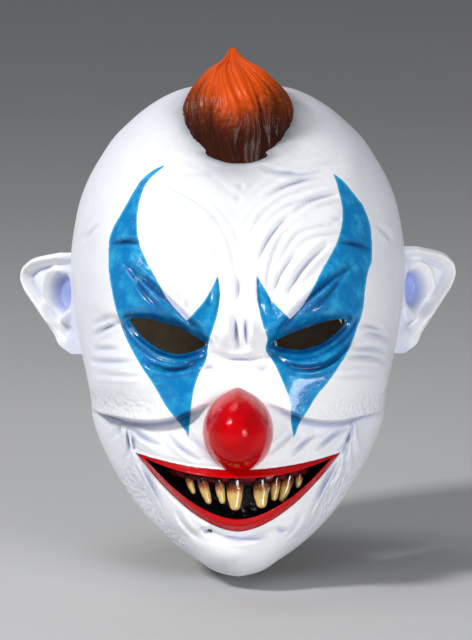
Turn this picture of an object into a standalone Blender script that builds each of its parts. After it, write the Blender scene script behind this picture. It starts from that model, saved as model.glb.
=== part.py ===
"""Clown mask: a moulded latex head with ears, a ball nose, a tuft of hair and a toothed grin.

Units are metres and +Z is up.  The face looks along -Y, with +X to the right of someone facing it.
The head is worked out square to its own face, with z = 0 on the line through the eyes and y = 0
between the ears.  An empty then tips it back until it sits upright and puts the origin where the
inside of the crown rests on the wearer's head.
"""

import math

import bpy
import numpy as np
from mathutils import Matrix, Vector
from mathutils.bvhtree import BVHTree

# The head
HEAD_WIDTH = 0.184
HEAD_HEIGHT = 0.267
CHIN_DROP = 0.129
FACE_DEPTH = 0.094
BACK_DEPTH = 0.110
FACE_TILT = math.radians(8.0)
WALL = 0.003
GAP = 0.0003

# The neck opening
NECK_WIDTH = 0.124
NECK_LENGTH = 0.127
NECK_RISE = 0.069
NECK_CURL = 3.0
CHIN_TUCK = 0.022
CHIN_TURN = 0.005

# The moulded relief of the face
RELIEF = 0.010
FOLD_STEP = 0.006
FOLD_LIP = 0.0025
FOLD_EDGE = 0.0035
FOLD_FADE = 0.030
LIP_RISE = 0.003
LIP_ROLL = 0.005

# The eye holes
EYE_OFFSET = 0.0385
EYE_LIFT = 0.0022
EYE_CHORD = 0.045
EYE_SLANT = math.radians(19.0)
EYE_ARCH = 0.003
EYE_SAG = 0.010

# The mouth opening and the lips round it
MOUTH_WIDTH = 0.102
MOUTH_DROP = 0.0786
MOUTH_CORNER_RISE = 0.011
MOUTH_OPEN = 0.0226
LIP_CORNER = 0.0056
UPPER_LIP = 0.0045
LOWER_LIP = 0.0068

# The pocket behind the mouth
POCKET_MARGIN = 0.0045
POCKET_CORNER = 0.8
POCKET_DEPTH = 0.013
POCKET_WALL = 0.0022

# The gum bar and its teeth
GUM_HEIGHT = 0.0050
GUM_THICK = 0.0050
GUM_SETBACK = 0.0012
GUM_REACH = 0.0375
TOOTH_LENGTH = 0.0155
TOOTH_WIDTH = 0.0086
TOOTH_THICK = 0.0058
TOOTH_CURL = 0.0022
TOOTH_ROOT = 0.0015

# The ball nose
NOSE_DROP = 0.051
NOSE_WIDTH = 0.0385
NOSE_HEIGHT = 0.0445
NOSE_TAPER = 0.03
NOSE_REACH = 0.0285
NOSE_PEAK = 0.0016
NOSE_PEAK_ANGLE = 0.22
NOSE_ROUNDING = 0.95
NOSE_WALL = 0.0025
NOSE_SINK = 0.009

# The tuft of hair
TUFT_WIDTH = 0.0588
TUFT_HEIGHT = 0.0360
TUFT_DROP = 0.0185
TUFT_SETBACK = 0.0590
TUFT_SKIRT = 0.034
TUFT_LOCKS = 16
LOCK_DEPTH = 0.0016
TUFT_LEAN = 0.0030
TUFT_TIP = 0.0012
TUFT_RIBBING = 6.0

# The ears
EAR_HEIGHT = 0.058
EAR_REACH = 0.0375
EAR_LEVEL = -0.0100
EAR_SETBACK = 0.0105
EAR_LEAN = math.radians(40.0)
EAR_ROOT = 0.007
EAR_WALL = 0.003
EAR_CUP = 0.0085
EAR_MIDDLE = (0.44, 0.60)

# Fineness of the surfaces
HEAD_COLUMNS = 60
FRONT_ROWS = 22
BACK_ROWS = 10
LINER_FRONT_ROWS = 15
LINER_BACK_ROWS = 6
CROWDING = 1.2
CROWD_ANGLE = 12.0
CROWD_SPREAD = 16.0
EAR_LEVELS = 13

HALF_WIDTH = HEAD_WIDTH / 2
NOSE_SHARE = (CHIN_DROP - NOSE_DROP) / HEAD_HEIGHT
CROWN_RISE = HEAD_HEIGHT - CHIN_DROP
TUFT_LEVEL = CROWN_RISE - TUFT_DROP

# The head's outline from the front: level above the chin as a share of the head's height,
# and half width at that level as a share of half the head's width.
OUTLINE = np.array([
    # level, half width
    (0.000, 0.000),
    (0.014, 0.168),
    (0.029, 0.242),
    (0.058, 0.364),
    (0.118, 0.550),
    (0.181, 0.689),
    (0.247, 0.797),
    (0.313, 0.868),
    (0.361, 0.884),
    (0.412, 0.915),
    (0.555, 0.988),
    (0.659, 1.000),
    (0.709, 0.980),
    (0.757, 0.951),
    (0.807, 0.896),
    (0.857, 0.813),
    (0.890, 0.748),
    (0.922, 0.657),
    (0.956, 0.538),
    (0.989, 0.358),
    (1.000, 0.000),
])

# How the face rounds off towards its outline.  The angle turns about the nose from straight down
# (-90) to straight up (90), edge is how far behind y = 0 the outline lies as a share of the
# face's depth, and fullness is the power of the rounding: 2 is an ellipse, 4 is boxy.
ROUNDING = np.array([
    # angle, edge, fullness
    (-90.0, -0.60, 4.4),
    (-60.0, -0.48, 3.9),
    (-30.0, -0.24, 2.9),
    (0.0, 0.00, 2.4),
    (20.0, 0.09, 2.35),
    (45.0, 0.15, 2.45),
    (70.0, 0.14, 2.6),
    (90.0, 0.12, 2.6),
])

# How each column runs on from the outline to the neck.  run is how far it goes straight back as a
# share of the back's depth; spread, lean and rise place the last handle of the curve from the
# neck's edge, as shares of half the width, of the back's depth and of the head's height.
RUNS = np.array([
    # angle, run, spread, lean, rise
    (-90.0, 0.07, 0.00, -0.05, -0.012),
    (-60.0, 0.10, 0.02, -0.04, -0.010),
    (-30.0, 0.17, 0.04, -0.02, 0.000),
    (0.0, 0.30, 0.09, 0.05, 0.030),
    (20.0, 0.47, 0.16, 0.11, 0.110),
    (45.0, 0.65, 0.25, 0.23, 0.260),
    (70.0, 0.74, 0.14, 0.35, 0.405),
    (90.0, 0.76, 0.00, 0.39, 0.460),
])

# The broad swells and hollows of each half of the face, mirrored across the middle.  across and
# half_across are shares of half the head's width, up and half_up of its height, turn is in
# degrees and height is a share of the relief.
FORMS = (
    # across, up, half_across, half_up, turn, height
    (0.40, -0.004, 0.25, 0.040, 19.0, -0.85),
    (0.40, 0.062, 0.30, 0.026, 24.0, 0.55),
    (0.10, 0.006, 0.07, 0.030, 0.0, 0.55),
    (0.38, -0.052, 0.20, 0.016, 10.0, 0.30),
    (0.66, -0.085, 0.24, 0.055, 0.0, 0.55),
    (0.26, -0.225, 0.18, 0.040, 0.0, 0.25),
    (0.00, -0.445, 0.20, 0.040, 0.0, 0.60),
    (0.00, -0.408, 0.26, 0.012, 0.0, -0.30),
    (0.55, -0.330, 0.14, 0.080, 35.0, -0.25),
    (0.88, 0.160, 0.20, 0.110, 0.0, -0.12),
    (0.00, 0.170, 0.05, 0.060, 0.0, -0.20),
)

# The sharp fold under each cheek: distance from the middle as a share of half the head's width,
# level as a share of the head's height, and how strong the fold is there.
CHEEK_FOLD = np.array([
    # across, level, strength
    (0.12, -0.136, 0.00),
    (0.26, -0.152, 0.35),
    (0.38, -0.168, 0.85),
    (0.50, -0.175, 1.00),
    (0.66, -0.173, 1.00),
    (0.77, -0.166, 1.00),
    (0.88, -0.153, 1.00),
    (1.00, -0.128, 0.80),
])

# The teeth from the viewer's left: middle of the root as a share of half the mouth's width,
# width and length as shares of the largest tooth, and lean of the tip in degrees.
TEETH = (
    # place, width, length, lean
    (-0.530, 0.45, 0.66, 20.0),
    (-0.389, 0.62, 0.95, 18.0),
    (-0.206, 0.58, 0.86, 10.0),
    (-0.033, 1.00, 1.06, 0.0),
    (0.231, 0.95, 1.00, 3.0),
    (0.400, 0.58, 0.80, -6.0),
    (0.535, 0.70, 0.94, -17.0),
    (0.647, 0.48, 0.50, -8.0),
)

# The tuft's profile: height above its widest level and radius, as shares of its height and of
# half its width.  The first two rows are its skirt, which the head cuts off.
TUFT_PROFILE = np.array([
    # height, radius
    (-TUFT_SKIRT / TUFT_HEIGHT, 0.940),
    (-0.35, 0.985),
    (0.00, 1.000),
    (0.12, 0.985),
    (0.34, 0.880),
    (0.54, 0.673),
    (0.72, 0.430),
    (0.82, 0.235),
    (0.91, 0.125),
    (1.00, 0.070),
])

# The ear's outer edge: level as a share of its height and reach as a share of its full reach.
EAR_EDGE = np.array([
    # level, reach
    (0.00, 0.00),
    (0.06, 0.16),
    (0.20, 0.34),
    (0.34, 0.53),
    (0.50, 0.75),
    (0.65, 0.94),
    (0.78, 1.00),
    (0.89, 0.89),
    (0.96, 0.64),
    (1.00, 0.22),
])

# The ear's section from the hollow of the cup to the rolled rim: share of the way out, and the
# height of the front as a share of the cup's depth.
EAR_SECTION = (
    # share, front
    (0.30, -0.80),
    (0.48, -0.45),
    (0.60, 0.05),
    (0.76, -0.30),
    (0.90, 0.25),
)


def smooth_step(low, high, value):
    """0 below low, 1 above high, and an S-curve between."""
    share = np.clip((value - low) / (high - low), 0.0, 1.0)
    return share * share * (3.0 - 2.0 * share)


def through(table, column, at):
    """A smooth curve through one column of a table, whose first column holds the keys."""
    keys = table[:, 0]
    values = table[:, column]
    slopes = np.gradient(values, keys)
    place = np.clip(np.searchsorted(keys, at) - 1, 0, len(keys) - 2)
    span = keys[place + 1] - keys[place]
    t = np.clip((at - keys[place]) / span, 0.0, 1.0)
    start = (1 + 2 * t) * (1 - t) ** 2 * values[place]
    leave = t * (1 - t) ** 2 * span * slopes[place]
    end = t * t * (3 - 2 * t) * values[place + 1]
    arrive = t * t * (t - 1) * span * slopes[place + 1]
    return start + leave + end + arrive


def outline_by_angle():
    """The outline as angle about the nose and distance from it."""
    across = OUTLINE[:, 1] * HALF_WIDTH
    up = (OUTLINE[:, 0] - NOSE_SHARE) * HEAD_HEIGHT
    angle = np.degrees(np.arctan2(up, across))
    return np.column_stack([angle, np.hypot(across, up)])


POLAR = outline_by_angle()


def mouth_top(x):
    """Upper edge of the mouth opening."""
    share = np.abs(x) / (MOUTH_WIDTH / 2)
    return -MOUTH_DROP + MOUTH_CORNER_RISE * share ** 2.2


def mouth_bottom(x):
    """Lower edge of the mouth opening: it meets the upper edge at the corners."""
    share = np.abs(x) / (MOUTH_WIDTH / 2)
    return -MOUTH_DROP - MOUTH_OPEN + (MOUTH_OPEN + MOUTH_CORNER_RISE) * share ** 1.8


def lip_relief(x, z):
    """Height of the lips: a rolled band round the mouth opening."""
    lip_x = x / (1 + LIP_CORNER / (MOUTH_WIDTH / 2))
    top = mouth_top(lip_x) + UPPER_LIP
    bottom = mouth_bottom(lip_x) - LOWER_LIP
    inside = np.minimum(top - z, z - bottom)
    return LIP_RISE * smooth_step(0.0, LIP_ROLL, inside)


def face_relief(x, z):
    """Height of the moulded forms over the plain head, from their place on the face."""
    side = np.abs(x)
    height = np.zeros_like(x)
    for across, up, half_across, half_up, turn, rise in FORMS:
        right = side - across * HALF_WIDTH
        above = z - up * HEAD_HEIGHT
        cos = math.cos(math.radians(turn))
        sin = math.sin(math.radians(turn))
        along = (right * cos + above * sin) / (half_across * HALF_WIDTH)
        athwart = (above * cos - right * sin) / (half_up * HEAD_HEIGHT)
        height += rise * RELIEF * np.exp(-along ** 2 - athwart ** 2)
    share = np.clip(side / HALF_WIDTH, CHEEK_FOLD[0, 0], CHEEK_FOLD[-1, 0])
    level = through(CHEEK_FOLD, 1, share) * HEAD_HEIGHT
    strength = through(CHEEK_FOLD, 2, share) * smooth_step(0.10, 0.30, side / HALF_WIDTH)
    over = z - level
    under = smooth_step(FOLD_EDGE, -FOLD_EDGE, over)
    height -= strength * under * FOLD_STEP * np.exp(np.minimum(over, 0.0) / FOLD_FADE)
    height += strength * (1 - under) * FOLD_LIP * np.exp(-np.maximum(over, 0.0) / FOLD_FADE)
    return height


def head_surface(angles, rounds, runs):
    """Grid of the plain head: one column for each angle, from the nose over the outline to the
    neck's edge.  rounds are the quarter turns from nose to outline, runs the shares beyond it.
    """
    folded = np.degrees(np.arcsin(np.sin(angles)))
    reach = through(POLAR, 1, folded)
    edge = through(ROUNDING, 1, folded) * FACE_DEPTH
    power = through(ROUNDING, 2, folded)
    cos = np.cos(angles)
    sin = np.sin(angles)
    share = np.sin(rounds)[:, None]
    x = share * reach * cos
    z = share * reach * sin - NOSE_DROP
    y = edge - (FACE_DEPTH + edge) * np.sqrt(np.clip(1 - share ** power, 0.0, None))
    front = np.stack([x, y, z], axis=-1)

    chin_edge = through(ROUNDING, 1, np.array([-90.0]))[0] * FACE_DEPTH
    rim_front = chin_edge + CHIN_TUCK
    behind = (1 + sin) / 2
    rim_y = rim_front + NECK_LENGTH * behind
    rim_z = -CHIN_DROP + CHIN_TURN + NECK_RISE * (1 - (1 - behind) ** NECK_CURL)
    rim = np.stack([NECK_WIDTH / 2 * cos, rim_y, rim_z], axis=-1)
    start = front[-1]
    leave = start + np.stack([0 * cos, through(RUNS, 1, folded) * BACK_DEPTH, 0 * cos], axis=-1)
    arrive = rim + np.stack([
        through(RUNS, 2, folded) * HALF_WIDTH * np.sign(np.round(cos, 9)),
        through(RUNS, 3, folded) * BACK_DEPTH,
        through(RUNS, 4, folded) * HEAD_HEIGHT,
    ], axis=-1)
    t = runs[:, None, None]
    back = (
        (1 - t) ** 3 * start
        + 3 * t * (1 - t) ** 2 * leave
        + 3 * t ** 2 * (1 - t) * arrive
        + t ** 3 * rim
    )
    return np.concatenate([front, back], axis=0)


def grid_normals(points):
    """Outward normals of a grid whose first row is the pole at the nose."""
    across = np.roll(points, -1, axis=1) - np.roll(points, 1, axis=1)
    along = np.gradient(points, axis=0)
    normals = np.cross(along, across)
    normals[0] = (0.0, -1.0, 0.0)
    length = np.linalg.norm(normals, axis=-1, keepdims=True)
    return normals / length


def head_layer(front_rows, back_rows, offset, guard):
    """One layer of the head: the relief on the plain surface, moved out by offset.

    guard is how far round each point the lowest relief is looked for, so that an inner layer
    stays behind every fold of the outer one.
    """
    angles = column_angles()
    rounds = np.linspace(0.0, math.pi / 2, front_rows)
    runs = np.linspace(0.0, 1.0, back_rows + 1)[1:]
    points = head_surface(angles, rounds, runs)
    normals = grid_normals(points)
    x = points[..., 0]
    z = points[..., 2]
    relief = face_relief(x, z)
    if guard > 0:
        for step in (-guard, guard):
            relief = np.minimum(relief, face_relief(x, z + step))
    else:
        relief += lip_relief(x, z)
    fade = smooth_step(0.35 * FACE_DEPTH, -0.05 * FACE_DEPTH, points[..., 1])
    return points + normals * (relief * fade + offset)[..., None]


def column_angles():
    """Angles of the columns, closer together where the cheek folds and the eyes lie."""
    fine = np.linspace(-math.pi / 2, 3 * math.pi / 2, 2001)
    folded = np.degrees(np.arcsin(np.sin(fine)))
    density = 1.0 + CROWDING * np.exp(-((folded - CROWD_ANGLE) / CROWD_SPREAD) ** 2)
    total = np.concatenate([[0.0], np.cumsum((density[1:] + density[:-1]) / 2)])
    return np.interp(np.arange(HEAD_COLUMNS) / HEAD_COLUMNS * total[-1], total, fine)


def make_mesh(name, vertices, faces):
    """A mesh from lists of vertices and faces, shaded smooth with crisp edges kept."""
    mesh = bpy.data.meshes.new(name)
    mesh.from_pydata([tuple(map(float, v)) for v in vertices], [], faces)
    mesh.validate()
    mesh.shade_smooth()
    mesh.set_sharp_from_angle(angle=math.radians(40.0))
    return mesh


def pole_faces(start, columns, flip=False):
    """Triangles from the vertex at start to the ring that follows it."""
    faces = []
    for c in range(columns):
        face = [start, start + 1 + c, start + 1 + (c + 1) % columns]
        faces.append(face[::-1] if flip else face)
    return faces


def ring_faces(first, second, columns, flip=False):
    """Pairs of triangles between two rings that start at the given vertices.

    The diagonals mirror each other across the middle, and are the same in every layer, so two
    layers keep their distance everywhere.
    """
    faces = []
    for c in range(columns):
        n = (c + 1) % columns
        if c < columns / 2:
            pair = ([first + c, second + c, first + n], [second + c, second + n, first + n])
        else:
            pair = ([first + c, second + c, second + n], [first + c, second + n, first + n])
        for face in pair:
            faces.append(face[::-1] if flip else face)
    return faces


def layer_vertices(layer):
    """Vertices of a layer: its pole once, then its rings."""
    return np.concatenate([layer[0, :1], layer[1:].reshape(-1, 3)])


def layer_faces(layer, start, flip=False):
    """Faces of a layer whose vertices begin at start."""
    rows = layer.shape[0]
    columns = layer.shape[1]
    faces = pole_faces(start, columns, flip)
    for r in range(rows - 2):
        first = start + 1 + r * columns
        faces += ring_faces(first, first + columns, columns, flip)
    return faces


def shell_mesh(name, outer, inner):
    """A closed wall between two layers that are joined along their last rings."""
    columns = outer.shape[1]
    vertices = np.concatenate([layer_vertices(outer), layer_vertices(inner)])
    second = 1 + (outer.shape[0] - 1) * columns
    faces = layer_faces(outer, 0)
    faces += layer_faces(inner, second, flip=True)
    outer_edge = 1 + (outer.shape[0] - 2) * columns
    inner_edge = second + 1 + (inner.shape[0] - 2) * columns
    faces += ring_faces(outer_edge, inner_edge, columns)
    return make_mesh(name, vertices, faces)


def solid_mesh(name, layer):
    """A closed solid inside one layer, with a flat cap over its last ring."""
    columns = layer.shape[1]
    vertices = np.concatenate([layer_vertices(layer), layer[-1].mean(axis=0)[None]])
    faces = layer_faces(layer, 0)
    edge = 1 + (layer.shape[0] - 2) * columns
    middle = len(vertices) - 1
    for c in range(columns):
        faces.append([edge + c, middle, edge + (c + 1) % columns])
    return make_mesh(name, vertices, faces)


def material(name, colour, roughness):
    """A Principled material with one colour."""
    made = bpy.data.materials.new(name)
    made.use_nodes = True
    shader = made.node_tree.nodes["Principled BSDF"]
    shader.inputs["Base Color"].default_value = (*colour, 1.0)
    shader.inputs["Roughness"].default_value = roughness
    shader.inputs["Metallic"].default_value = 0.0
    return made


def add(name, mesh, frame, finish=None):
    """An object in the head's frame."""
    thing = bpy.data.objects.new(name, mesh)
    bpy.context.scene.collection.objects.link(thing)
    thing.parent = frame
    if finish:
        mesh.materials.append(finish)
    return thing


def add_guide(name, mesh, frame):
    """A cutter: drawn as wires and left out of the render."""
    guide = add(name, mesh, frame)
    guide.hide_render = True
    guide.display_type = "WIRE"
    return guide


def cut(thing, cutter, operation="DIFFERENCE"):
    """Cut a piece with a guide, exactly."""
    boolean = thing.modifiers.new(cutter.name, "BOOLEAN")
    boolean.operation = operation
    boolean.solver = "EXACT"
    boolean.object = cutter


def prism(name, outline, front, back):
    """A closed prism along Y over an outline of (x, z) points."""
    count = len(outline)
    near = [(x, front, z) for x, z in outline]
    far = [(x, back, z) for x, z in outline]
    faces = [list(range(count))[::-1], list(range(count, 2 * count))]
    for c in range(count):
        n = (c + 1) % count
        faces.append([c, n, count + n, count + c])
    mesh = make_mesh(name, near + far, faces)
    if mesh_volume(mesh) < 0:
        mesh.flip_normals()
    return mesh


def mesh_volume(mesh):
    """Signed volume inside a closed mesh."""
    total = 0.0
    for face in mesh.polygons:
        corners = [mesh.vertices[i].co for i in face.vertices]
        for a, b in zip(corners[1:-1], corners[2:]):
            total += corners[0].dot(a.cross(b)) / 6
    return total


def facing_out(mesh):
    """Turn a closed mesh so that its faces point outwards."""
    if mesh_volume(mesh) < 0:
        mesh.flip_normals()
    return mesh


def eye_outline(side):
    """The eye hole: a chord that slants up and out, with a low arch over it and a deep sag."""
    points = []
    steps = 12
    for i in range(2 * steps):
        t = i / steps if i < steps else 2 - i / steps
        along = (t - 0.5) * EYE_CHORD
        bow = math.sin(math.pi * t)
        off = EYE_ARCH * bow if i < steps else -EYE_SAG * bow
        x = EYE_OFFSET + along * math.cos(EYE_SLANT) - off * math.sin(EYE_SLANT)
        z = EYE_LIFT + along * math.sin(EYE_SLANT) + off * math.cos(EYE_SLANT)
        points.append((side * x, z))
    return points


def mouth_outline(margin, steps=14):
    """The mouth opening, moved out by a margin that narrows over and under its corners."""
    half = MOUTH_WIDTH / 2
    grow = (half + margin) / half
    shares = -np.cos(np.linspace(0.0, math.pi, steps + 1))
    above = margin * np.sqrt(1 - POCKET_CORNER * shares ** 2)
    top = [(s * half * grow, mouth_top(s * half) + m) for s, m in zip(shares, above)]
    bottom = [(s * half * grow, mouth_bottom(s * half) - m) for s, m in zip(shares, above)][::-1]
    if margin == 0:
        return top + bottom[1:-1]
    return top + bottom


def depth_finder(layer):
    """A function that gives the depth of a layer's front at a place on the face.

    Beside the layer, where a line straight back misses it, the nearest place on it counts.
    """
    mesh = solid_mesh("probe", layer)
    tree = BVHTree.FromPolygons(
        [v.co.copy() for v in mesh.vertices],
        [list(f.vertices) for f in mesh.polygons],
    )
    bpy.data.meshes.remove(mesh)
    forward = Vector((0.0, 1.0, 0.0))

    def depth(x, z):
        place = tree.ray_cast(Vector((x, -3 * FACE_DEPTH, z)), forward)[0]
        if place is None:
            place = tree.find_nearest(Vector((x, 0.0, z)))[0]
        return place.y

    return depth


def pocket_mesh(inner_depth):
    """The mouth pocket: a dish behind the opening with walls that run forward to the skin."""
    outer_ring = mouth_outline(POCKET_MARGIN + POCKET_WALL)
    inner_ring = mouth_outline(POCKET_MARGIN)
    middle_z = -MOUTH_DROP - MOUTH_OPEN * 0.35
    columns = len(outer_ring)

    def ring(outline, share, behind):
        made = []
        for x, z in outline:
            px = x * share
            pz = middle_z + (z - middle_z) * share
            made.append((px, inner_depth(px, pz) + behind, pz))
        return made

    back = POCKET_DEPTH + POCKET_WALL
    rows = [
        ring(inner_ring, 0.0, POCKET_DEPTH)[:1],
        ring(inner_ring, 0.45, POCKET_DEPTH),
        ring(inner_ring, 0.86, POCKET_DEPTH * 0.94),
        ring(inner_ring, 1.0, POCKET_DEPTH * 0.66),
        ring(inner_ring, 1.0, -WALL / 2),
        ring(outer_ring, 1.0, -WALL / 2),
        ring(outer_ring, 1.0, back * 0.50),
        ring(outer_ring, 0.92, back * 0.90),
        ring(outer_ring, 0.50, back),
        ring(outer_ring, 0.0, back)[:1],
    ]
    vertices = [p for row in rows for p in row]
    faces = pole_faces(0, columns)
    for r in range(len(rows) - 3):
        first = 1 + r * columns
        faces += ring_faces(first, first + columns, columns)
    last = 1 + (len(rows) - 3) * columns
    middle = len(vertices) - 1
    for c in range(columns):
        faces.append([last + c, middle, last + (c + 1) % columns])
    return facing_out(make_mesh("mouth_pocket", vertices, faces))


def gum_place(x, inner_depth):
    """Middle of the gum bar's top: just under the pocket's ceiling and behind the skin."""
    ceiling = np.array(mouth_outline(POCKET_MARGIN))
    ceiling = ceiling[:len(ceiling) // 2]
    top = float(np.interp(x, ceiling[:, 0], ceiling[:, 1])) - GAP
    low = top - GUM_HEIGHT
    near = max(inner_depth(x, top), inner_depth(x, low))
    return top, near + GUM_SETBACK + GUM_THICK / 2


def gum_mesh(name, inner_depth, grow=0.0):
    """The gum: a bar with a flat top and a rounded lower edge, carried along the upper lip.

    grow moves its sides and its lower edge out, for the cutter that trims the teeth's roots.
    """
    section = (
        # back, down: shares of the bar's thickness and height
        (-0.50, 0.0),
        (0.50, 0.0),
        (0.50, 0.70),
        (0.28, 1.0),
        (-0.28, 1.0),
        (-0.50, 0.70),
    )
    count = len(section)
    stations = np.linspace(-GUM_REACH, GUM_REACH, 17)
    vertices = []
    for x in stations:
        top, middle = gum_place(float(x), inner_depth)
        for back, down in section:
            thick = GUM_THICK + 2 * grow
            vertices.append((x, middle + back * thick, top - down * (GUM_HEIGHT + grow)))
    faces = [list(range(count)), list(range(len(vertices) - count, len(vertices)))[::-1]]
    for i in range(len(stations) - 1):
        faces += ring_faces(i * count, (i + 1) * count, count)
    return facing_out(make_mesh(name, vertices, faces))


def tooth_mesh(name, width, length):
    """A tooth: an eight-sided cone that swells below its root and curls forward at the tip."""
    sides = 8
    section = (
        # down, half width, forward
        (-TOOTH_ROOT / length, 0.80, 0.0),
        (0.25, 1.00, 0.10),
        (0.62, 0.78, 0.45),
        (0.90, 0.36, 0.90),
    )
    vertices = []
    for down, half, forward in section:
        for i in range(sides):
            turn = 2 * math.pi * i / sides
            vertices.append((
                half * width / 2 * math.cos(turn),
                half * TOOTH_THICK / 2 * math.sin(turn) - forward * TOOTH_CURL,
                -down * length,
            ))
    vertices.append((0.0, -TOOTH_CURL, -length))
    faces = [list(range(sides))]
    for r in range(len(section) - 1):
        faces += ring_faces(r * sides, (r + 1) * sides, sides)
    last = (len(section) - 1) * sides
    for i in range(sides):
        faces.append([last + i, len(vertices) - 1, last + (i + 1) % sides])
    return facing_out(make_mesh(name, vertices, faces))


def nose_layer(width, height, reach, columns=24, rows=8):
    """One layer of the egg nose, from its tip back to inside the face."""
    angles = np.linspace(0.0, 2 * math.pi, columns, endpoint=False)
    total = reach + NOSE_SINK
    bends = np.linspace(0.0, math.pi / 2, rows)
    share = np.sin(bends)[:, None] ** NOSE_ROUNDING
    peak = np.exp(-((angles - math.pi / 2) / NOSE_PEAK_ANGLE) ** 2) * NOSE_PEAK
    x = share * width / 2 * np.cos(angles) * (1 - NOSE_TAPER * np.sin(angles))
    z = share * (height / 2 * np.sin(angles) + peak) - NOSE_DROP
    y = -FACE_DEPTH + NOSE_SINK - total * np.cos(bends)[:, None] + 0 * angles
    return np.stack([x, y, z], axis=-1)


def tuft_layer():
    """The tuft: a round onion shape, ribbed into locks that run together at the tip."""
    columns = TUFT_LOCKS * 3
    angles = np.linspace(0.0, 2 * math.pi, columns, endpoint=False)
    heights = TUFT_PROFILE[::-1, 0]
    radii = TUFT_PROFILE[::-1, 1] * TUFT_WIDTH / 2
    lock = LOCK_DEPTH * (np.cos(angles * TUFT_LOCKS) - 0.5) / 1.5
    rib = np.minimum(radii * TUFT_RIBBING / TUFT_WIDTH, 1.0)[:, None] * lock
    radius = radii[:, None] + rib
    tip = np.clip(heights, 0.0, 1.0)[:, None] ** 2
    x = radius * np.cos(angles) - TUFT_LEAN * tip
    y = TUFT_SETBACK - FACE_DEPTH + radius * np.sin(angles)
    z = TUFT_LEVEL + heights[:, None] * TUFT_HEIGHT + 0 * angles
    rings = np.stack([x, y, z], axis=-1)
    pole = rings[:1].mean(axis=1, keepdims=True) + np.array([0.0, 0.0, TUFT_TIP])
    return np.concatenate([np.repeat(pole, columns, axis=1), rings])


def ear_mesh(name, side):
    """An ear: a cup with a rolled rim, from its hollow out to its edge, and a plain back."""
    middle_u, middle_v = EAR_MIDDLE
    levels = 0.5 - 0.5 * np.cos(np.linspace(0.0, math.pi, EAR_LEVELS))
    free = [(through(EAR_EDGE, 1, np.array([v]))[0], v) for v in levels]
    root = [(-EAR_ROOT / EAR_REACH, v) for v in levels[::-1][1:-1]]
    edge = np.array(free + root)
    columns = len(edge)
    off_root = smooth_step(-0.15, 0.35, edge[:, 0])

    def ring(share, front):
        u = (middle_u + (edge[:, 0] - middle_u) * share) * EAR_REACH
        v = (middle_v + (edge[:, 1] - middle_v) * share) * EAR_HEIGHT
        w = front + 0 * u
        return u, v, w

    rows = [ring(0.0, -EAR_CUP)]
    for share, front in EAR_SECTION:
        u, v, w = ring(share, front * EAR_CUP)
        w = w * off_root + (1 - off_root) * np.minimum(w, 0.1 * EAR_CUP)
        rows.append((u, v, w))
    rows.append(ring(1.0, -0.15 * EAR_CUP))
    for share, back in ((0.90, -0.15), (0.62, -0.75), (0.35, -1.0), (0.0, -1.0)):
        rows.append(ring(share, back * EAR_CUP - EAR_WALL))
    vertices = []
    for index, (u, v, w) in enumerate(rows):
        out = u * math.cos(EAR_LEAN) + w * math.sin(EAR_LEAN)
        back = u * math.sin(EAR_LEAN) - w * math.cos(EAR_LEAN)
        x = side * (HALF_WIDTH + out)
        y = EAR_SETBACK + back
        z = EAR_LEVEL + v
        points = np.column_stack([x, y, z])
        vertices += list(points[:1] if index in (0, len(rows) - 1) else points)
    faces = pole_faces(0, columns)
    for r in range(len(rows) - 3):
        first = 1 + r * columns
        faces += ring_faces(first, first + columns, columns)
    last = 1 + (len(rows) - 3) * columns
    for c in range(columns):
        faces.append([last + c, len(vertices) - 1, last + (c + 1) % columns])
    return facing_out(make_mesh(name, vertices, faces))


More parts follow.
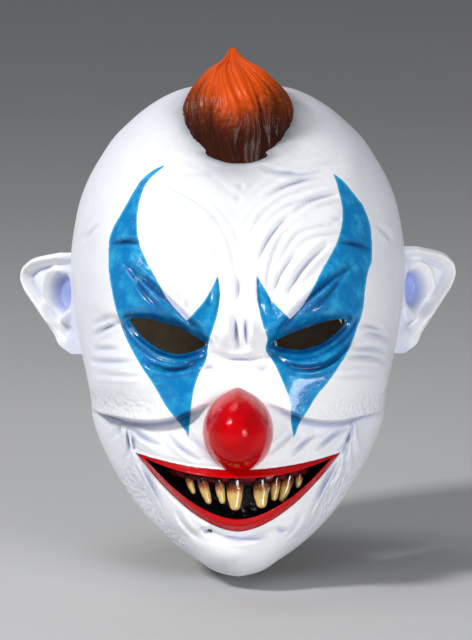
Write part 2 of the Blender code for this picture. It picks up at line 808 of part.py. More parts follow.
def build():
    """Build every piece in the head's frame."""
    for thing in list(bpy.data.objects):
        bpy.data.objects.remove(thing)

    seat = Vector((0.0, ROUNDING[-1, 1] * FACE_DEPTH, CROWN_RISE - WALL))
    frame = bpy.data.objects.new("head_frame", None)
    bpy.context.scene.collection.objects.link(frame)
    frame.rotation_euler = (-FACE_TILT, 0.0, 0.0)
    frame.location = -(Matrix.Rotation(-FACE_TILT, 3, "X") @ seat)

    skin_white = material("skin_white", (0.82, 0.83, 0.92), 0.45)
    nose_red = material("nose_red", (0.60, 0.0, 0.01), 0.12)
    hair_orange = material("hair_orange", (0.60, 0.10, 0.02), 0.40)
    mouth_black = material("mouth_black", (0.010, 0.012, 0.015), 0.20)
    gum_red = material("gum_red", (0.12, 0.005, 0.008), 0.25)
    tooth_cream = material("tooth_cream", (0.75, 0.50, 0.22), 0.25)

    outer = head_layer(FRONT_ROWS, BACK_ROWS, 0.0, 0.0)
    inner = head_layer(LINER_FRONT_ROWS, LINER_BACK_ROWS, -WALL, FOLD_EDGE)
    outer_clear = head_layer(FRONT_ROWS, BACK_ROWS, GAP, 0.0)
    inner_clear = head_layer(LINER_FRONT_ROWS, LINER_BACK_ROWS, -WALL - GAP, FOLD_EDGE)
    inner_depth = depth_finder(inner)

    mask_shell = add("mask_shell", shell_mesh("mask_shell", outer, inner), frame, skin_white)
    outside = add_guide("outside_guide", solid_mesh("outside_guide", outer_clear), frame)
    inside = add_guide("inside_guide", solid_mesh("inside_guide", inner_clear), frame)
    for side, word in ((-1, "left"), (1, "right")):
        hole = prism("eye_cutter_" + word, eye_outline(side), -2 * FACE_DEPTH, 0.0)
        cut(mask_shell, add_guide("eye_cutter_" + word, hole, frame))
    mouth = prism("mouth_cutter", mouth_outline(0.0), -2 * FACE_DEPTH, -0.2 * FACE_DEPTH)
    cut(mask_shell, add_guide("mouth_cutter", mouth, frame))

    for side, word in ((-1, "left"), (1, "right")):
        ear = add("ear_" + word, ear_mesh("ear_" + word, side), frame, skin_white)
        cut(ear, outside)

    nose_outer = nose_layer(NOSE_WIDTH, NOSE_HEIGHT, NOSE_REACH)
    nose_inner = nose_layer(
        NOSE_WIDTH - 2 * NOSE_WALL, NOSE_HEIGHT - 2 * NOSE_WALL, NOSE_REACH - NOSE_WALL)
    nose = add("nose", facing_out(shell_mesh("nose", nose_outer, nose_inner)), frame, nose_red)
    cut(nose, outside)

    tuft = add("hair_tuft", facing_out(solid_mesh("hair_tuft", tuft_layer())), frame, hair_orange)
    cut(tuft, outside)

    pocket = add("mouth_pocket", pocket_mesh(inner_depth), frame, mouth_black)
    cut(pocket, inside, "INTERSECT")
    add("upper_gum", gum_mesh("upper_gum", inner_depth), frame, gum_red)
    gum_guide = add_guide("gum_guide", gum_mesh("gum_guide", inner_depth, GAP), frame)
    for number, (place, wide, long, lean) in enumerate(TEETH, start=1):
        x = place * MOUTH_WIDTH / 2
        top, middle = gum_place(x, inner_depth)
        name = "tooth_%d" % number
        width = wide * TOOTH_WIDTH
        tooth = add(name, tooth_mesh(name, width, long * TOOTH_LENGTH), frame, tooth_cream)
        tooth.location = (x, middle, top - GUM_HEIGHT)
        tooth.rotation_euler = (0.0, -math.radians(lean), 0.0)
        cut(tooth, gum_guide)


build()
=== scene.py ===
import math

import bpy
import numpy as np
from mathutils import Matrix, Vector


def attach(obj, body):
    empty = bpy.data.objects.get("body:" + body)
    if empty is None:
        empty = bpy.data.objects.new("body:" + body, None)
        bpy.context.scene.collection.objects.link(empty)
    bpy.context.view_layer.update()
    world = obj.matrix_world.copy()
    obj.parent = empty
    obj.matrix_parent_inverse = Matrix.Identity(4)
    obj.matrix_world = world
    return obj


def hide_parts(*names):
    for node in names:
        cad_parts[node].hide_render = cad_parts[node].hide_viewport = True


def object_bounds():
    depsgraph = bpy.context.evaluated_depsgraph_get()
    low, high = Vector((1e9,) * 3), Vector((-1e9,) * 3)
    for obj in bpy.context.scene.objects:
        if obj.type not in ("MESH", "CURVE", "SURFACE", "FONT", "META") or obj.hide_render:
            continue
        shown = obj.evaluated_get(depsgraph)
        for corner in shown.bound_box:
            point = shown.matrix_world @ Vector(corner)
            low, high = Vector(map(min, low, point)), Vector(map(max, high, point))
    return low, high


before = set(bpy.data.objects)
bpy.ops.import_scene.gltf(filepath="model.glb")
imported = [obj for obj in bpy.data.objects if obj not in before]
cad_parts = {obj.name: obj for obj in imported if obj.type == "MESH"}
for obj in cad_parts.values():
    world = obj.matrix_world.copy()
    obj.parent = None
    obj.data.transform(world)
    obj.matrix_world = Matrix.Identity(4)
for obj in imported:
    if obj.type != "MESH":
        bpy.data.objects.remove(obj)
cad_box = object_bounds()

# The head skin
# One skin of cast latex, 3 mm thick and satin white, that is pulled over the whole head.  The
# mould gives it its folds and wrinkles; the blue eye diamonds and the red lips are hand painted.
MM = 0.001
HALF_WIDTH = 0.092
HEAD_HEIGHT = 0.267
CHIN_DROP = 0.129
FACE_DEPTH = 0.094
BACK_DEPTH = 0.110
FACE_TILT = math.radians(8.0)
WALL = 0.003
NECK_WIDTH = 0.124
NECK_LENGTH = 0.127
NECK_RISE = 0.069
NECK_CURL = 3.0
CHIN_TUCK = 0.022
CHIN_TURN = 0.005
NOSE_DROP = 0.051
VIEW_DISTANCE = 3.0
VIEW_ACROSS = -0.0011
VIEW_ABOVE = 0.00825
SKIN_COLUMNS = 492
SKIN_FRONT_ROWS = 174
SKIN_BACK_ROWS = 24
HOLE_MARGIN = -0.3
NOSE_SHARE = (CHIN_DROP - NOSE_DROP) / HEAD_HEIGHT

# The head's outline from the front: level above the chin as a share of the head's height, and
# half width at that level as a share of half the head's width.
OUTLINE = np.array([
    (0.000, 0.000), (0.014, 0.168), (0.029, 0.242), (0.058, 0.364), (0.118, 0.550),
    (0.181, 0.689), (0.247, 0.797), (0.313, 0.868), (0.361, 0.884), (0.412, 0.915),
    (0.555, 0.988), (0.659, 1.000), (0.709, 0.980), (0.757, 0.951), (0.807, 0.896),
    (0.857, 0.813), (0.890, 0.748), (0.922, 0.657), (0.956, 0.538), (0.989, 0.358),
    (1.000, 0.000),
])

# Angle about the nose in degrees, how far behind y = 0 the outline lies as a share of the face's
# depth, and the power of the rounding from the nose to the outline.
ROUNDING = np.array([
    (-90.0, -0.60, 4.4), (-60.0, -0.48, 3.9), (-30.0, -0.24, 2.9), (0.0, 0.00, 2.4),
    (20.0, 0.09, 2.35), (45.0, 0.15, 2.45), (70.0, 0.14, 2.6), (90.0, 0.12, 2.6),
])

# Angle about the nose, how far the skin runs straight back as a share of the back's depth, and
# the last handle of its curve to the neck's edge: spread, lean and rise, as shares of half the
# width, of the back's depth and of the height.
RUNS = np.array([
    (-90.0, 0.07, 0.00, -0.05, -0.012), (-60.0, 0.10, 0.02, -0.04, -0.010),
    (-30.0, 0.17, 0.04, -0.02, 0.000), (0.0, 0.30, 0.09, 0.05, 0.030),
    (20.0, 0.47, 0.16, 0.11, 0.110), (45.0, 0.65, 0.25, 0.23, 0.260),
    (70.0, 0.74, 0.14, 0.35, 0.405), (90.0, 0.76, 0.00, 0.39, 0.460),
])

# All that follows is laid out in millimetres beside and above the eye line, as the face is seen
# from the front.  Broad swells and hollows of each half: across, up, half sizes, turn, height.
FORMS = (
    (36.4, -1.1, 22.8, 10.8, 19.0, -8.5),
    (36.4, 16.8, 27.3, 7.0, 24.0, 5.5),
    (7.6, 1.2, 4.6, 7.4, 0.0, 5.5),
    (34.6, -14.1, 18.2, 4.3, 10.0, 3.0),
    (60.0, -23.0, 21.8, 14.9, 0.0, 5.5),
    (23.7, -61.0, 16.4, 10.8, 0.0, 2.5),
    (0.0, -120.6, 18.2, 10.8, 0.0, 6.0),
    (0.0, -110.6, 23.7, 3.3, 0.0, -3.0),
    (50.0, -89.4, 12.7, 21.7, 35.0, -2.5),
    (80.0, 43.4, 18.2, 29.8, 0.0, -1.2),
    (0.0, 46.0, 4.6, 16.3, 0.0, -2.0),
)

# The fold under each cheek: distance from the middle, level, and strength.
CHEEK_FOLD = np.array([
    (10.0, -36.0, 0.00), (20.0, -39.8, 0.45), (27.0, -42.6, 0.85), (35.0, -45.8, 1.00),
    (45.0, -47.7, 1.00), (59.0, -47.3, 1.00), (66.0, -45.8, 1.00), (74.0, -43.8, 1.00),
    (80.0, -41.2, 0.90), (90.0, -34.5, 0.80),
])
FOLD_STEP = 7.2
FOLD_LIP = 2.8
FOLD_EDGE = 1.5
FOLD_FADE = 30.0

# The blue diamond round each eye, as arcs between its sharp points: the outer side from the top
# point, the lower tip, the inner side, the spike on the nose's root, and the upper inner side.
BLUE_LEFT = (
    ((-39.1, 94.1), (-46.2, 90.8), (-53.9, 84.2), (-62.2, 70.4), (-69.9, 56.1), (-71.2, 45.1),
     (-70.7, 32.5), (-67.9, 17.6), (-64.9, 7.7), (-63.3, 2.0), (-60.5, -3.9), (-53.9, -16.0),
     (-46.2, -27.5), (-39.6, -39.1), (-31.6, -49.5), (-27.2, -55.9)),
    ((-27.2, -55.9), (-25.9, -42.4), (-24.8, -32.5), (-22.0, -22.6), (-17.6, -13.8),
     (-16.7, -7.7), (-16.0, -3.0), (-12.0, 8.8), (-9.9, 20.9), (-11.0, 33.0)),
    ((-11.0, 33.0), (-15.4, 23.7), (-19.8, 17.1), (-28.1, 7.7)),
    ((-28.1, 7.7), (-38.0, 18.7), (-44.0, 29.2), (-52.3, 45.1), (-55.0, 53.9), (-55.6, 63.8),
     (-53.9, 74.8), (-49.5, 84.7), (-39.1, 94.1)),
)
BLUE_RIGHT = (
    ((52.3, 89.1), (58.3, 84.2), (63.8, 77.6), (68.8, 71.0), (72.6, 61.1), (73.7, 51.2),
     (73.7, 41.2), (71.5, 34.7), (69.9, 24.8), (69.3, 18.2), (67.7, 9.9), (65.5, 4.0),
     (63.4, -2.2), (58.9, -11.6), (50.1, -24.8), (43.5, -33.0), (38.5, -41.2), (34.7, -47.3),
     (30.8, -56.7)),
    ((30.8, -56.7), (29.2, -47.3), (28.6, -36.3), (24.2, -24.8), (19.8, -15.4), (15.3, -8.4),
     (16.2, -2.3), (13.2, 7.2), (10.5, 20.9), (10.2, 33.0)),
    ((10.2, 33.0), (15.4, 24.2), (19.8, 17.6), (28.6, 8.8)),
    ((28.6, 8.8), (34.7, 14.9), (40.7, 24.8), (45.7, 34.7), (51.2, 44.6), (54.5, 51.2),
     (57.2, 61.1), (57.2, 71.0), (55.0, 80.9), (52.3, 89.1)),
)

# The eye holes: the lid's edge over each, then the sagging edge under it.
EYE_LEFT = (
    ((-60.7, 9.4), (-50.1, 9.1), (-41.2, 6.6), (-31.6, 3.6), (-22.0, -1.7), (-16.5, -5.0)),
    ((-16.5, -5.0), (-22.0, -8.0), (-28.6, -10.0), (-34.7, -10.4), (-41.2, -8.5),
     (-47.3, -5.2), (-53.9, 0.3), (-60.7, 9.4)),
)
EYE_RIGHT = (
    ((60.0, 8.8), (49.5, 7.9), (39.6, 4.6), (27.0, 0.0), (17.6, -4.8)),
    ((17.6, -4.8), (25.9, -7.2), (34.7, -8.0), (42.9, -6.0), (49.5, -2.2), (56.1, 3.3),
     (60.0, 8.8)),
)

# The mouth: the upper lip's top edge and the opening's top edge rise to the corners; the
# opening's lower edge and the lower lip's outer edge swing up to meet them.
LIP_HALF = 56.8
LIP_TOP = (-74.2, 9.6, 2.0)
LIP_BOTTOM = (-108.2, 43.6, 1.75)
OPEN_HALF = 51.6
OPEN_TOP = (-78.8, 11.2, 2.2)
OPEN_BOTTOM = (-101.4, 33.8, 1.8)
LIP_RISE = 3.0
LIP_ROLL = 4.0

# Creases of the mould, each a shallow arc: its two ends, how far its middle bows to the left of
# its run, its depth and its half width.
CREASES = (
    (-64.0, 39.5, -17.0, -4.0, 2.5, 1.8, 1.7),
    (65.0, 40.5, 18.5, -3.0, -3.0, 1.8, 1.7),
    (-70.5, 49.5, -52.0, 49.8, 1.6, 1.3, 1.3),
    (55.0, 50.8, 73.5, 46.8, 1.2, 1.3, 1.3),
    (-59.5, 36.5, -42.0, 14.0, -1.5, 0.9, 1.0),
    (60.0, 35.5, 36.0, 11.0, 1.5, 0.9, 1.0),
    (-52.0, -14.5, -17.0, -10.5, -6.5, 1.5, 1.3),
    (14.5, -8.2, 64.5, 0.5, -14.5, 1.5, 1.3),
    (-11.0, -12.1, 13.2, -12.1, -1.2, 1.5, 1.4),
    (-19.2, -18.7, -12.0, -18.4, 0.6, 0.9, 1.0),
    (9.9, -18.2, 17.0, -18.4, -0.6, 0.9, 1.0),
    (-1.9, 12.0, -1.9, -7.0, 0.6, 1.6, 1.5),
    (5.0, 12.0, 5.0, -7.0, -0.6, 1.6, 1.5),
    (-79.8, -1.1, -63.3, 6.6, 1.0, 0.9, 1.0),
    (-80.0, 5.5, -66.0, 10.0, 0.8, 0.7, 0.9),
    (-78.8, -7.9, -64.9, -7.7, 0.4, 0.8, 1.0),
    (-78.8, -13.6, -56.7, -14.3, -0.6, 0.9, 1.0),
    (-74.0, -20.5, -52.0, -22.5, -1.0, 0.5, 1.0),
    (65.5, 5.5, 80.0, 2.3, 0.8, 0.9, 1.0),
    (67.2, 1.3, 84.2, -2.8, 0.8, 0.9, 1.0),
    (63.3, -7.2, 79.9, -7.9, 0.4, 0.8, 1.0),
    (59.4, -11.6, 79.0, -13.6, 0.8, 0.9, 1.0),
    (52.0, -22.5, 74.0, -20.5, -1.0, 0.5, 1.0),
    (-23.5, 60.0, -19.5, 52.5, 0.6, 0.6, 1.1),
    (-18.6, 53.0, -9.0, 38.0, 1.6, 0.7, 1.1),
    (-50.1, 46.5, -26.4, 19.2, -2.5, 0.7, 1.2),
    (-42.0, 54.0, -16.0, 26.0, -3.0, 0.5, 1.2),
    (-40.0, 70.0, -12.0, 62.0, -3.0, 0.5, 1.4),
    (-46.0, 92.0, -10.0, 90.0, -3.0, 0.5, 1.4),
    (9.9, 93.5, 49.0, 90.8, -3.6, 1.0, 1.3),
    (10.5, 38.0, 30.0, 66.5, 3.2, 1.1, 1.3),
    (29.5, 66.0, 55.0, 77.0, 2.8, 0.9, 1.3),
    (13.8, 74.2, 49.5, 86.2, 3.4, 1.0, 1.3),
    (25.9, 19.2, 50.1, 50.6, 3.0, 1.5, 1.5),
    (19.0, 20.5, 33.0, 46.0, 2.2, 0.9, 1.2),
    (51.8, 63.3, 57.2, 63.9, 0.3, 0.6, 0.8),
    (76.0, 60.0, 86.0, 52.0, 1.0, 0.6, 1.0),
    (-86.0, 52.0, -76.0, 61.0, 1.0, 0.6, 1.0),
    (0.0, 34.0, 0.0, 18.0, 0.4, 0.9, 1.4),
    (-70.4, -48.3, -71.0, -57.5, 0.4, 0.9, 0.9),
    (-62.2, -49.5, -63.8, -68.7, 1.2, 1.2, 1.1),
    (-61.3, -49.6, -43.0, -61.6, -0.8, 1.3, 1.1),
    (-60.8, -50.4, -56.4, -65.0, 0.8, 0.9, 0.9),
    (-39.5, -54.6, -20.5, -69.9, -1.0, 1.1, 1.1),
    (-30.0, -50.5, -12.0, -66.0, -1.6, 0.7, 1.1),
    (64.4, -47.6, 66.8, -67.0, 0.8, 1.2, 1.1),
    (62.7, -59.0, 62.7, -75.4, -0.8, 1.0, 1.0),
    (64.4, -48.6, 56.1, -65.2, 1.4, 1.2, 1.0),
    (44.5, -53.5, 28.0, -67.6, -1.0, 1.1, 1.1),
    (61.5, -49.8, 41.0, -65.1, -0.9, 1.2, 1.1),
    (32.0, -50.0, 14.0, -66.0, 1.6, 0.7, 1.1),
    (55.4, -67.6, 41.4, -99.0, -1.4, 1.1, 1.2),
    (57.8, -72.6, 53.5, -84.4, -0.6, 0.9, 1.0),
    (-55.4, -68.6, -42.0, -98.0, 1.4, 0.9, 1.2),
    (-58.0, -72.6, -53.0, -86.0, 0.6, 0.7, 1.0),
    (-20.4, -108.0, -13.6, -106.6, -0.8, 1.4, 1.5),
    (20.6, -105.8, 27.0, -108.4, -0.8, 1.4, 1.5),
    (-17.0, -107.0, 20.0, -107.0, -5.2, 1.2, 1.4),
    (-34.0, -96.0, -22.0, -112.0, -1.4, 0.6, 1.2),
    (35.0, -96.0, 26.0, -112.0, 1.4, 0.6, 1.2),
    (-38.4, 83.4, -36.8, 86.6, 0.2, 0.7, 0.8),
    (-0.6, 83.6, 2.2, 79.6, 0.5, 0.6, 0.8),
    (-0.9, 77.8, 1.6, 73.4, -0.5, 0.6, 0.8),
    (-22.0, 101.5, 24.0, 101.5, -5.0, 0.6, 1.5),
    (-30.0, 104.5, 34.0, 104.5, -8.5, 0.5, 1.5),
    (-84.0, -22.0, -78.0, -34.0, 1.0, 0.6, 1.2),
    (84.0, -22.0, 78.0, -34.0, -1.0, 0.6, 1.2),
)
BAG_GROOVES = ((1.9, 0.8, 0.8), (5.2, 0.9, 0.9))
CREASE_DEPTH = 1.9
CREASE_HALF = 1.25
RIPPLE_SPACING = 5.4
RIPPLE_DEPTH = 1.35
RIPPLE_SHARPNESS = 2.2
RIPPLE_SHADE = 0.7
RIPPLE_REACH = (20.0, 30.0, 56.0, 86.0)
RIPPLE_LEVELS = (6.0, 20.0)
RIPPLE_SIDES = (46.0, 66.0)
BROW_MIDDLE = (56.0, 27.5)
# How the ripples wander: height of each wave in radians of their phase, waves for each radian
# about the brow, for each millimetre across and outward, and start.  And how they fade in and
# out along their run, in the same terms.
RIPPLE_WAVERS = ((1.3, 3.1, 0.05, 0.0, 1.0), (0.6, 7.3, 0.0, 0.11, 0.0))
RIPPLE_BREAKS = (0.45, 2.3, 0.02, 0.33)

LID_RISE = 4.2
LID_THICK = 3.6
LID_SLANT = math.radians(19.0)
BAG_RISE = 1.2
BAG_REACH = 9.0


def smooth_step(low, high, value):
    """0 below low, 1 above high, and an S-curve between."""
    share = np.clip((value - low) / (high - low), 0.0, 1.0)
    return share * share * (3.0 - 2.0 * share)


def through(table, column, at):
    """A smooth curve through one column of a table, whose first column holds the keys."""
    keys = table[:, 0]
    values = table[:, column]
    slopes = np.gradient(values, keys)
    place = np.clip(np.searchsorted(keys, at) - 1, 0, len(keys) - 2)
    span = keys[place + 1] - keys[place]
    t = np.clip((at - keys[place]) / span, 0.0, 1.0)
    start = (1 + 2 * t) * (1 - t) ** 2 * values[place]
    leave = t * (1 - t) ** 2 * span * slopes[place]
    end = t * t * (3 - 2 * t) * values[place + 1]
    arrive = t * t * (t - 1) * span * slopes[place + 1]
    return start + leave + end + arrive


def outline_by_angle():
    """The outline as angle about the nose in degrees and distance from it."""
    across = OUTLINE[:, 1] * HALF_WIDTH
    up = (OUTLINE[:, 0] - NOSE_SHARE) * HEAD_HEIGHT
    return np.column_stack([np.degrees(np.arctan2(up, across)), np.hypot(across, up)])


POLAR = outline_by_angle()
SEAT = np.array([0.0, ROUNDING[-1, 1] * FACE_DEPTH, HEAD_HEIGHT - CHIN_DROP - WALL])


def fold_angle(angle):
    """An angle about the nose, mirrored to the right half, in degrees above level."""
    return np.degrees(np.arcsin(np.sin(angle)))


def front_depth(x, z):
    """Depth of the plain face at a place: a rounding of the table's power from the nose, the
    nearest point, to the outline at that angle about the nose."""
    folded = fold_angle(np.arctan2(z + NOSE_DROP, x))
    share = np.hypot(x, z + NOSE_DROP) / through(POLAR, 1, folded)
    edge = through(ROUNDING, 1, folded) * FACE_DEPTH
    power = through(ROUNDING, 2, folded)
    return edge - (FACE_DEPTH + edge) * np.sqrt(np.clip(1 - share ** power, 0.0, None))


def back_rows(angles, runs):
    """Rows of the skin behind the outline: on each column a cubic curve from the outline, which
    it leaves straight back, to the sloping oval edge at the neck."""
    folded = fold_angle(angles)
    cos = np.cos(angles)
    sin = np.sin(angles)
    reach = through(POLAR, 1, folded)
    edge = through(ROUNDING, 1, folded) * FACE_DEPTH
    start = np.stack([reach * cos, edge, reach * sin - NOSE_DROP], axis=-1)
    rim_front = through(ROUNDING, 1, np.array([-90.0]))[0] * FACE_DEPTH + CHIN_TUCK
    behind = (1 + sin) / 2
    rim_y = rim_front + NECK_LENGTH * behind
    rim_z = -CHIN_DROP + CHIN_TURN + NECK_RISE * (1 - (1 - behind) ** NECK_CURL)
    rim = np.stack([NECK_WIDTH / 2 * cos, rim_y, rim_z], axis=-1)
    run = through(RUNS, 1, folded) * BACK_DEPTH
    leave = start + run[:, None] * np.array([0.0, 1.0, 0.0])
    arrive = rim + np.stack([
        through(RUNS, 2, folded) * HALF_WIDTH * np.sign(np.round(cos, 9)),
        through(RUNS, 3, folded) * BACK_DEPTH,
        through(RUNS, 4, folded) * HEAD_HEIGHT,
    ], axis=-1)
    t = runs[:, None, None]
    bend = 3 * t * (1 - t) ** 2 * leave + 3 * t ** 2 * (1 - t) * arrive
    return (1 - t) ** 3 * start + bend + t ** 3 * rim


def seen(points):
    """Millimetres beside and above the eye line at which points of the upright face show to an
    eye VIEW_DISTANCE in front: their offset from the line of sight grows as they come nearer."""
    nearness = VIEW_DISTANCE / (VIEW_DISTANCE + points[..., 1])
    across = VIEW_ACROSS + (points[..., 0] - VIEW_ACROSS) * nearness
    above = VIEW_ABOVE + (points[..., 2] - VIEW_ABOVE) * nearness
    return across / MM, above / MM


def unseen(across, above, depth):
    """The x and z of points at a depth that show at the given millimetres: seen, undone."""
    nearness = VIEW_DISTANCE / (VIEW_DISTANCE + depth)
    x = VIEW_ACROSS + (across * MM - VIEW_ACROSS) / nearness
    z = VIEW_ABOVE + (above * MM - VIEW_ABOVE) / nearness
    return x, z


def curve(points, steps=8):
    """A smooth line through points: cubic pieces whose slope at each point follows its
    neighbours."""
    points = np.array(points, float)
    slopes = np.gradient(points, axis=0)
    t = np.linspace(0.0, 1.0, steps, endpoint=False)[:, None, None]
    pieces = (
        (1 + 2 * t) * (1 - t) ** 2 * points[:-1]
        + t * (1 - t) ** 2 * slopes[:-1]
        + t * t * (3 - 2 * t) * points[1:]
        + t * t * (t - 1) * slopes[1:]
    )
    return pieces.transpose(1, 0, 2).reshape(-1, 2)


def outline_of(arcs):
    """A closed outline of smooth arcs that meet in sharp points."""
    return np.concatenate([curve(arc) for arc in arcs])


def reach_inside(u, v, outline):
    """Distance of points from a closed outline, positive inside it: the nearest side, signed by
    how many sides a line to the right crosses."""
    nearest = np.full(u.shape, np.inf)
    inside = np.zeros(u.shape, bool)
    for (u0, v0), (u1, v1) in zip(outline, np.roll(outline, -1, axis=0)):
        du = u1 - u0
        dv = v1 - v0
        t = np.clip(((u - u0) * du + (v - v0) * dv) / (du * du + dv * dv), 0.0, 1.0)
        nearest = np.minimum(nearest, (u - u0 - t * du) ** 2 + (v - v0 - t * dv) ** 2)
        crosses = (v0 > v) != (v1 > v)
        inside ^= crosses & (u < u0 + (v - v0) * du / (dv if dv else 1.0))
    return np.where(inside, 1.0, -1.0) * np.sqrt(nearest)


def nearest_on(u, v, outline):
    """The nearest points of a closed outline to a few points."""
    start = outline[None, :, :]
    side = np.roll(outline, -1, axis=0)[None, :, :] - start
    away = np.stack([u, v], axis=-1)[:, None, :] - start
    t = np.clip((away * side).sum(-1) / (side * side).sum(-1), 0.0, 1.0)[..., None]
    gap = np.linalg.norm(away - t * side, axis=-1)
    best = gap.argmin(axis=1)
    rows = np.arange(len(u))
    found = start[0, best] + t[rows, best] * side[0, best]
    return found[:, 0], found[:, 1]


def lip_line(across, half, line):
    """Height of an edge of the mouth: a power curve that rises from its middle to its corner."""
    middle, rise, power = line
    return middle + rise * (np.abs(across) / half) ** power


def mouth_outline(half, top, bottom, margin=0.0):
    """A closed outline between two edges of the mouth, moved out by a margin."""
    share = -np.cos(np.linspace(0.0, math.pi, 49))
    across = share * half
    grown = share * (half + margin)
    over = np.column_stack([grown, lip_line(across, half, top) + margin])
    under = np.column_stack([grown, lip_line(across, half, bottom) - margin])[::-1]
    return np.concatenate([over, under] if margin else [over, under[1:-1]])


EYE_HOLES = (outline_of(EYE_LEFT), outline_of(EYE_RIGHT))
MOUTH_HOLE = mouth_outline(OPEN_HALF, OPEN_TOP, OPEN_BOTTOM)


def fold_moulding(u, v):
    """The cheek folds: above the fold's line a lip swells out, below it the skin steps back, and
    both fade with distance.  Also how far under the fold a point lies, as a share."""
    side = np.clip(np.abs(u), CHEEK_FOLD[0, 0], CHEEK_FOLD[-1, 0])
    over = v - through(CHEEK_FOLD, 1, side)
    strength = through(CHEEK_FOLD, 2, side) * smooth_step(8.0, 27.0, np.abs(u))
    under = smooth_step(FOLD_EDGE, -FOLD_EDGE, over)
    height = -strength * under * FOLD_STEP * np.exp(np.minimum(over, 0.0) / FOLD_FADE)
    height += strength * (1 - under) * FOLD_LIP * np.exp(-np.maximum(over, 0.0) / FOLD_FADE)
    return height, strength * np.exp(-((over + 1.6) / 1.7) ** 2)


def broad_moulding(u, v):
    """The swells and hollows of both halves of the face, each a turned oval bell."""
    side = np.abs(u)
    height = np.zeros_like(u)
    for across, up, half_across, half_up, turn, rise in FORMS:
        cos = math.cos(math.radians(turn))
        sin = math.sin(math.radians(turn))
        along = ((side - across) * cos + (v - up) * sin) / half_across
        athwart = ((v - up) * cos - (side - across) * sin) / half_up
        height += rise * np.exp(-along ** 2 - athwart ** 2)
    return height


def lip_moulding(u, v):
    """The lips: a rolled band round the mouth opening with a fine groove outside it.  Also the
    distance inside the lips' outer edge."""
    inside = np.minimum(
        lip_line(u, LIP_HALF, LIP_TOP) - v, v - lip_line(u, LIP_HALF, LIP_BOTTOM))
    inside = np.where(np.abs(u) < LIP_HALF + 6, inside, -9.0)
    inside *= 1 / np.sqrt(1 + (1.2 * np.abs(u) / LIP_HALF) ** 2)
    height = LIP_RISE * smooth_step(0.0, LIP_ROLL, inside)
    height -= 0.7 * np.exp(-((inside + 0.9) / 0.9) ** 2)
    return height, inside


def lid_moulding(u, v):
    """The rolled lids and bags round the eye holes, from the distance outside each hole: over
    the hole a thick lid that hangs over its edge, under it thin rolls between two grooves."""
    height = np.zeros_like(u)
    dark = np.zeros_like(u)
    for hole in EYE_HOLES:
        outside = -reach_inside(u, v, hole)
        middle = hole.mean(axis=0)
        slant = math.copysign(math.tan(LID_SLANT), middle[0])
        above = smooth_step(-3.0, 3.0, v - middle[1] - slant * (u - middle[0]) - 1.0)
        lid = smooth_step(0.0, LID_THICK, outside) * np.exp(-np.maximum(outside - 7.0, 0) / 6.0)
        height += above * LID_RISE * lid
        near = np.exp(-(np.maximum(outside, 0) / BAG_REACH) ** 2)
        height += (1 - above) * BAG_RISE * near * smooth_step(0.0, 1.5, outside)
        for place, depth, width in BAG_GROOVES:
            groove = (1 - above) * np.exp(-((outside - place) / width) ** 2)
            height -= depth * groove
            # The groove's mark is painted in the finish as shade in the groove.
            dark = np.maximum(dark, groove * 0.7)
    return height, dark


def crease_moulding(u, v):
    """The creases: a parabola over each chord, cut as a round groove between two low shoulders
    that tapers out at its ends.  Also how deep in a crease a point lies, from 0 to 1."""
    height = np.zeros_like(u)
    dark = np.zeros_like(u)
    for u0, v0, u1, v1, bow, depth, width in CREASES:
        length = math.hypot(u1 - u0, v1 - v0)
        du = (u1 - u0) / length
        dv = (v1 - v0) / length
        along = ((u - u0) * du + (v - v0) * dv) / length
        off = (v - v0) * du - (u - u0) * dv
        width = max(width, CREASE_HALF)
        near = (along > 0) & (along < 1) & (np.abs(off) < abs(bow) + 5 * width)
        s = along[near]
        slope = 4 * bow * (1 - 2 * s) / length
        gap = np.abs(off[near] - 4 * bow * s * (1 - s)) / np.sqrt(1 + slope * slope)
        taper = np.sin(math.pi * s) ** 0.7
        groove = np.exp(-(gap / width) ** 2)
        shoulder = np.exp(-((gap - 2.1 * width) / width) ** 2)
        height[near] += CREASE_DEPTH * depth * taper * (0.40 * shoulder - groove)
        # The crease's mark is painted in the finish as airbrushed wash and painted shade.
        dark[near] = np.maximum(dark[near], taper * groove * min(depth, 1.0))
    return height, dark


def ripple_moulding(u, v):
    """The forehead's many wrinkles: waves of the distance from the middle of each brow, sharp in
    their troughs, broken up along their run, between the blue diamonds and up to the crown."""
    side = np.abs(u)
    away = np.hypot(side - BROW_MIDDLE[0], v - BROW_MIDDLE[1])
    turn = np.arctan2(v - BROW_MIDDLE[1], BROW_MIDDLE[0] - side)
    waver = 0.0
    for rise, turns, across, outward, start in RIPPLE_WAVERS:
        waver = waver + rise * np.sin(turns * turn + across * u + outward * away + start)
    phase = 2 * math.pi * away / RIPPLE_SPACING + waver
    trough = (0.5 - 0.5 * np.cos(phase)) ** RIPPLE_SHARPNESS
    rise, turns, across, outward = RIPPLE_BREAKS
    broken = 1 - rise + rise * np.sin(turns * turn + outward * away + across * u)
    near, inner, outer, far = RIPPLE_REACH
    reach = smooth_step(near, inner, away) * smooth_step(far, outer, away)
    low, high = RIPPLE_LEVELS
    reach = reach * smooth_step(low, high, v)
    middle, edge = RIPPLE_SIDES
    reach = reach * smooth_step(edge, middle, side)
    strength = trough * broken * reach
    # The second value darkens the troughs in the finish: airbrushed wash and painted shade.
    return -RIPPLE_DEPTH * strength, RIPPLE_SHADE * strength


def moulding(u, v):
    """Everything that the mould adds to the plain head, in millimetres."""
    fold, under = fold_moulding(u, v)
    lips, inside = lip_moulding(u, v)
    lids, lid_dark = lid_moulding(u, v)
    creases, dark = crease_moulding(u, v)
    ripples, ripple_dark = ripple_moulding(u, v)
    height = broad_moulding(u, v) + fold + lips + lids + creases + ripples
    return height, np.maximum(np.maximum(dark, ripple_dark), lid_dark), under, inside


def grid_normals(points):
    """Outward normals of a grid whose first row is the pole at the nose."""
    across = np.roll(points, -1, axis=1) - np.roll(points, 1, axis=1)
    along = np.gradient(points, axis=0)
    normals = np.cross(along, across)
    normals[0] = (0.0, -1.0, 0.0)
    return normals / np.linalg.norm(normals, axis=-1, keepdims=True)


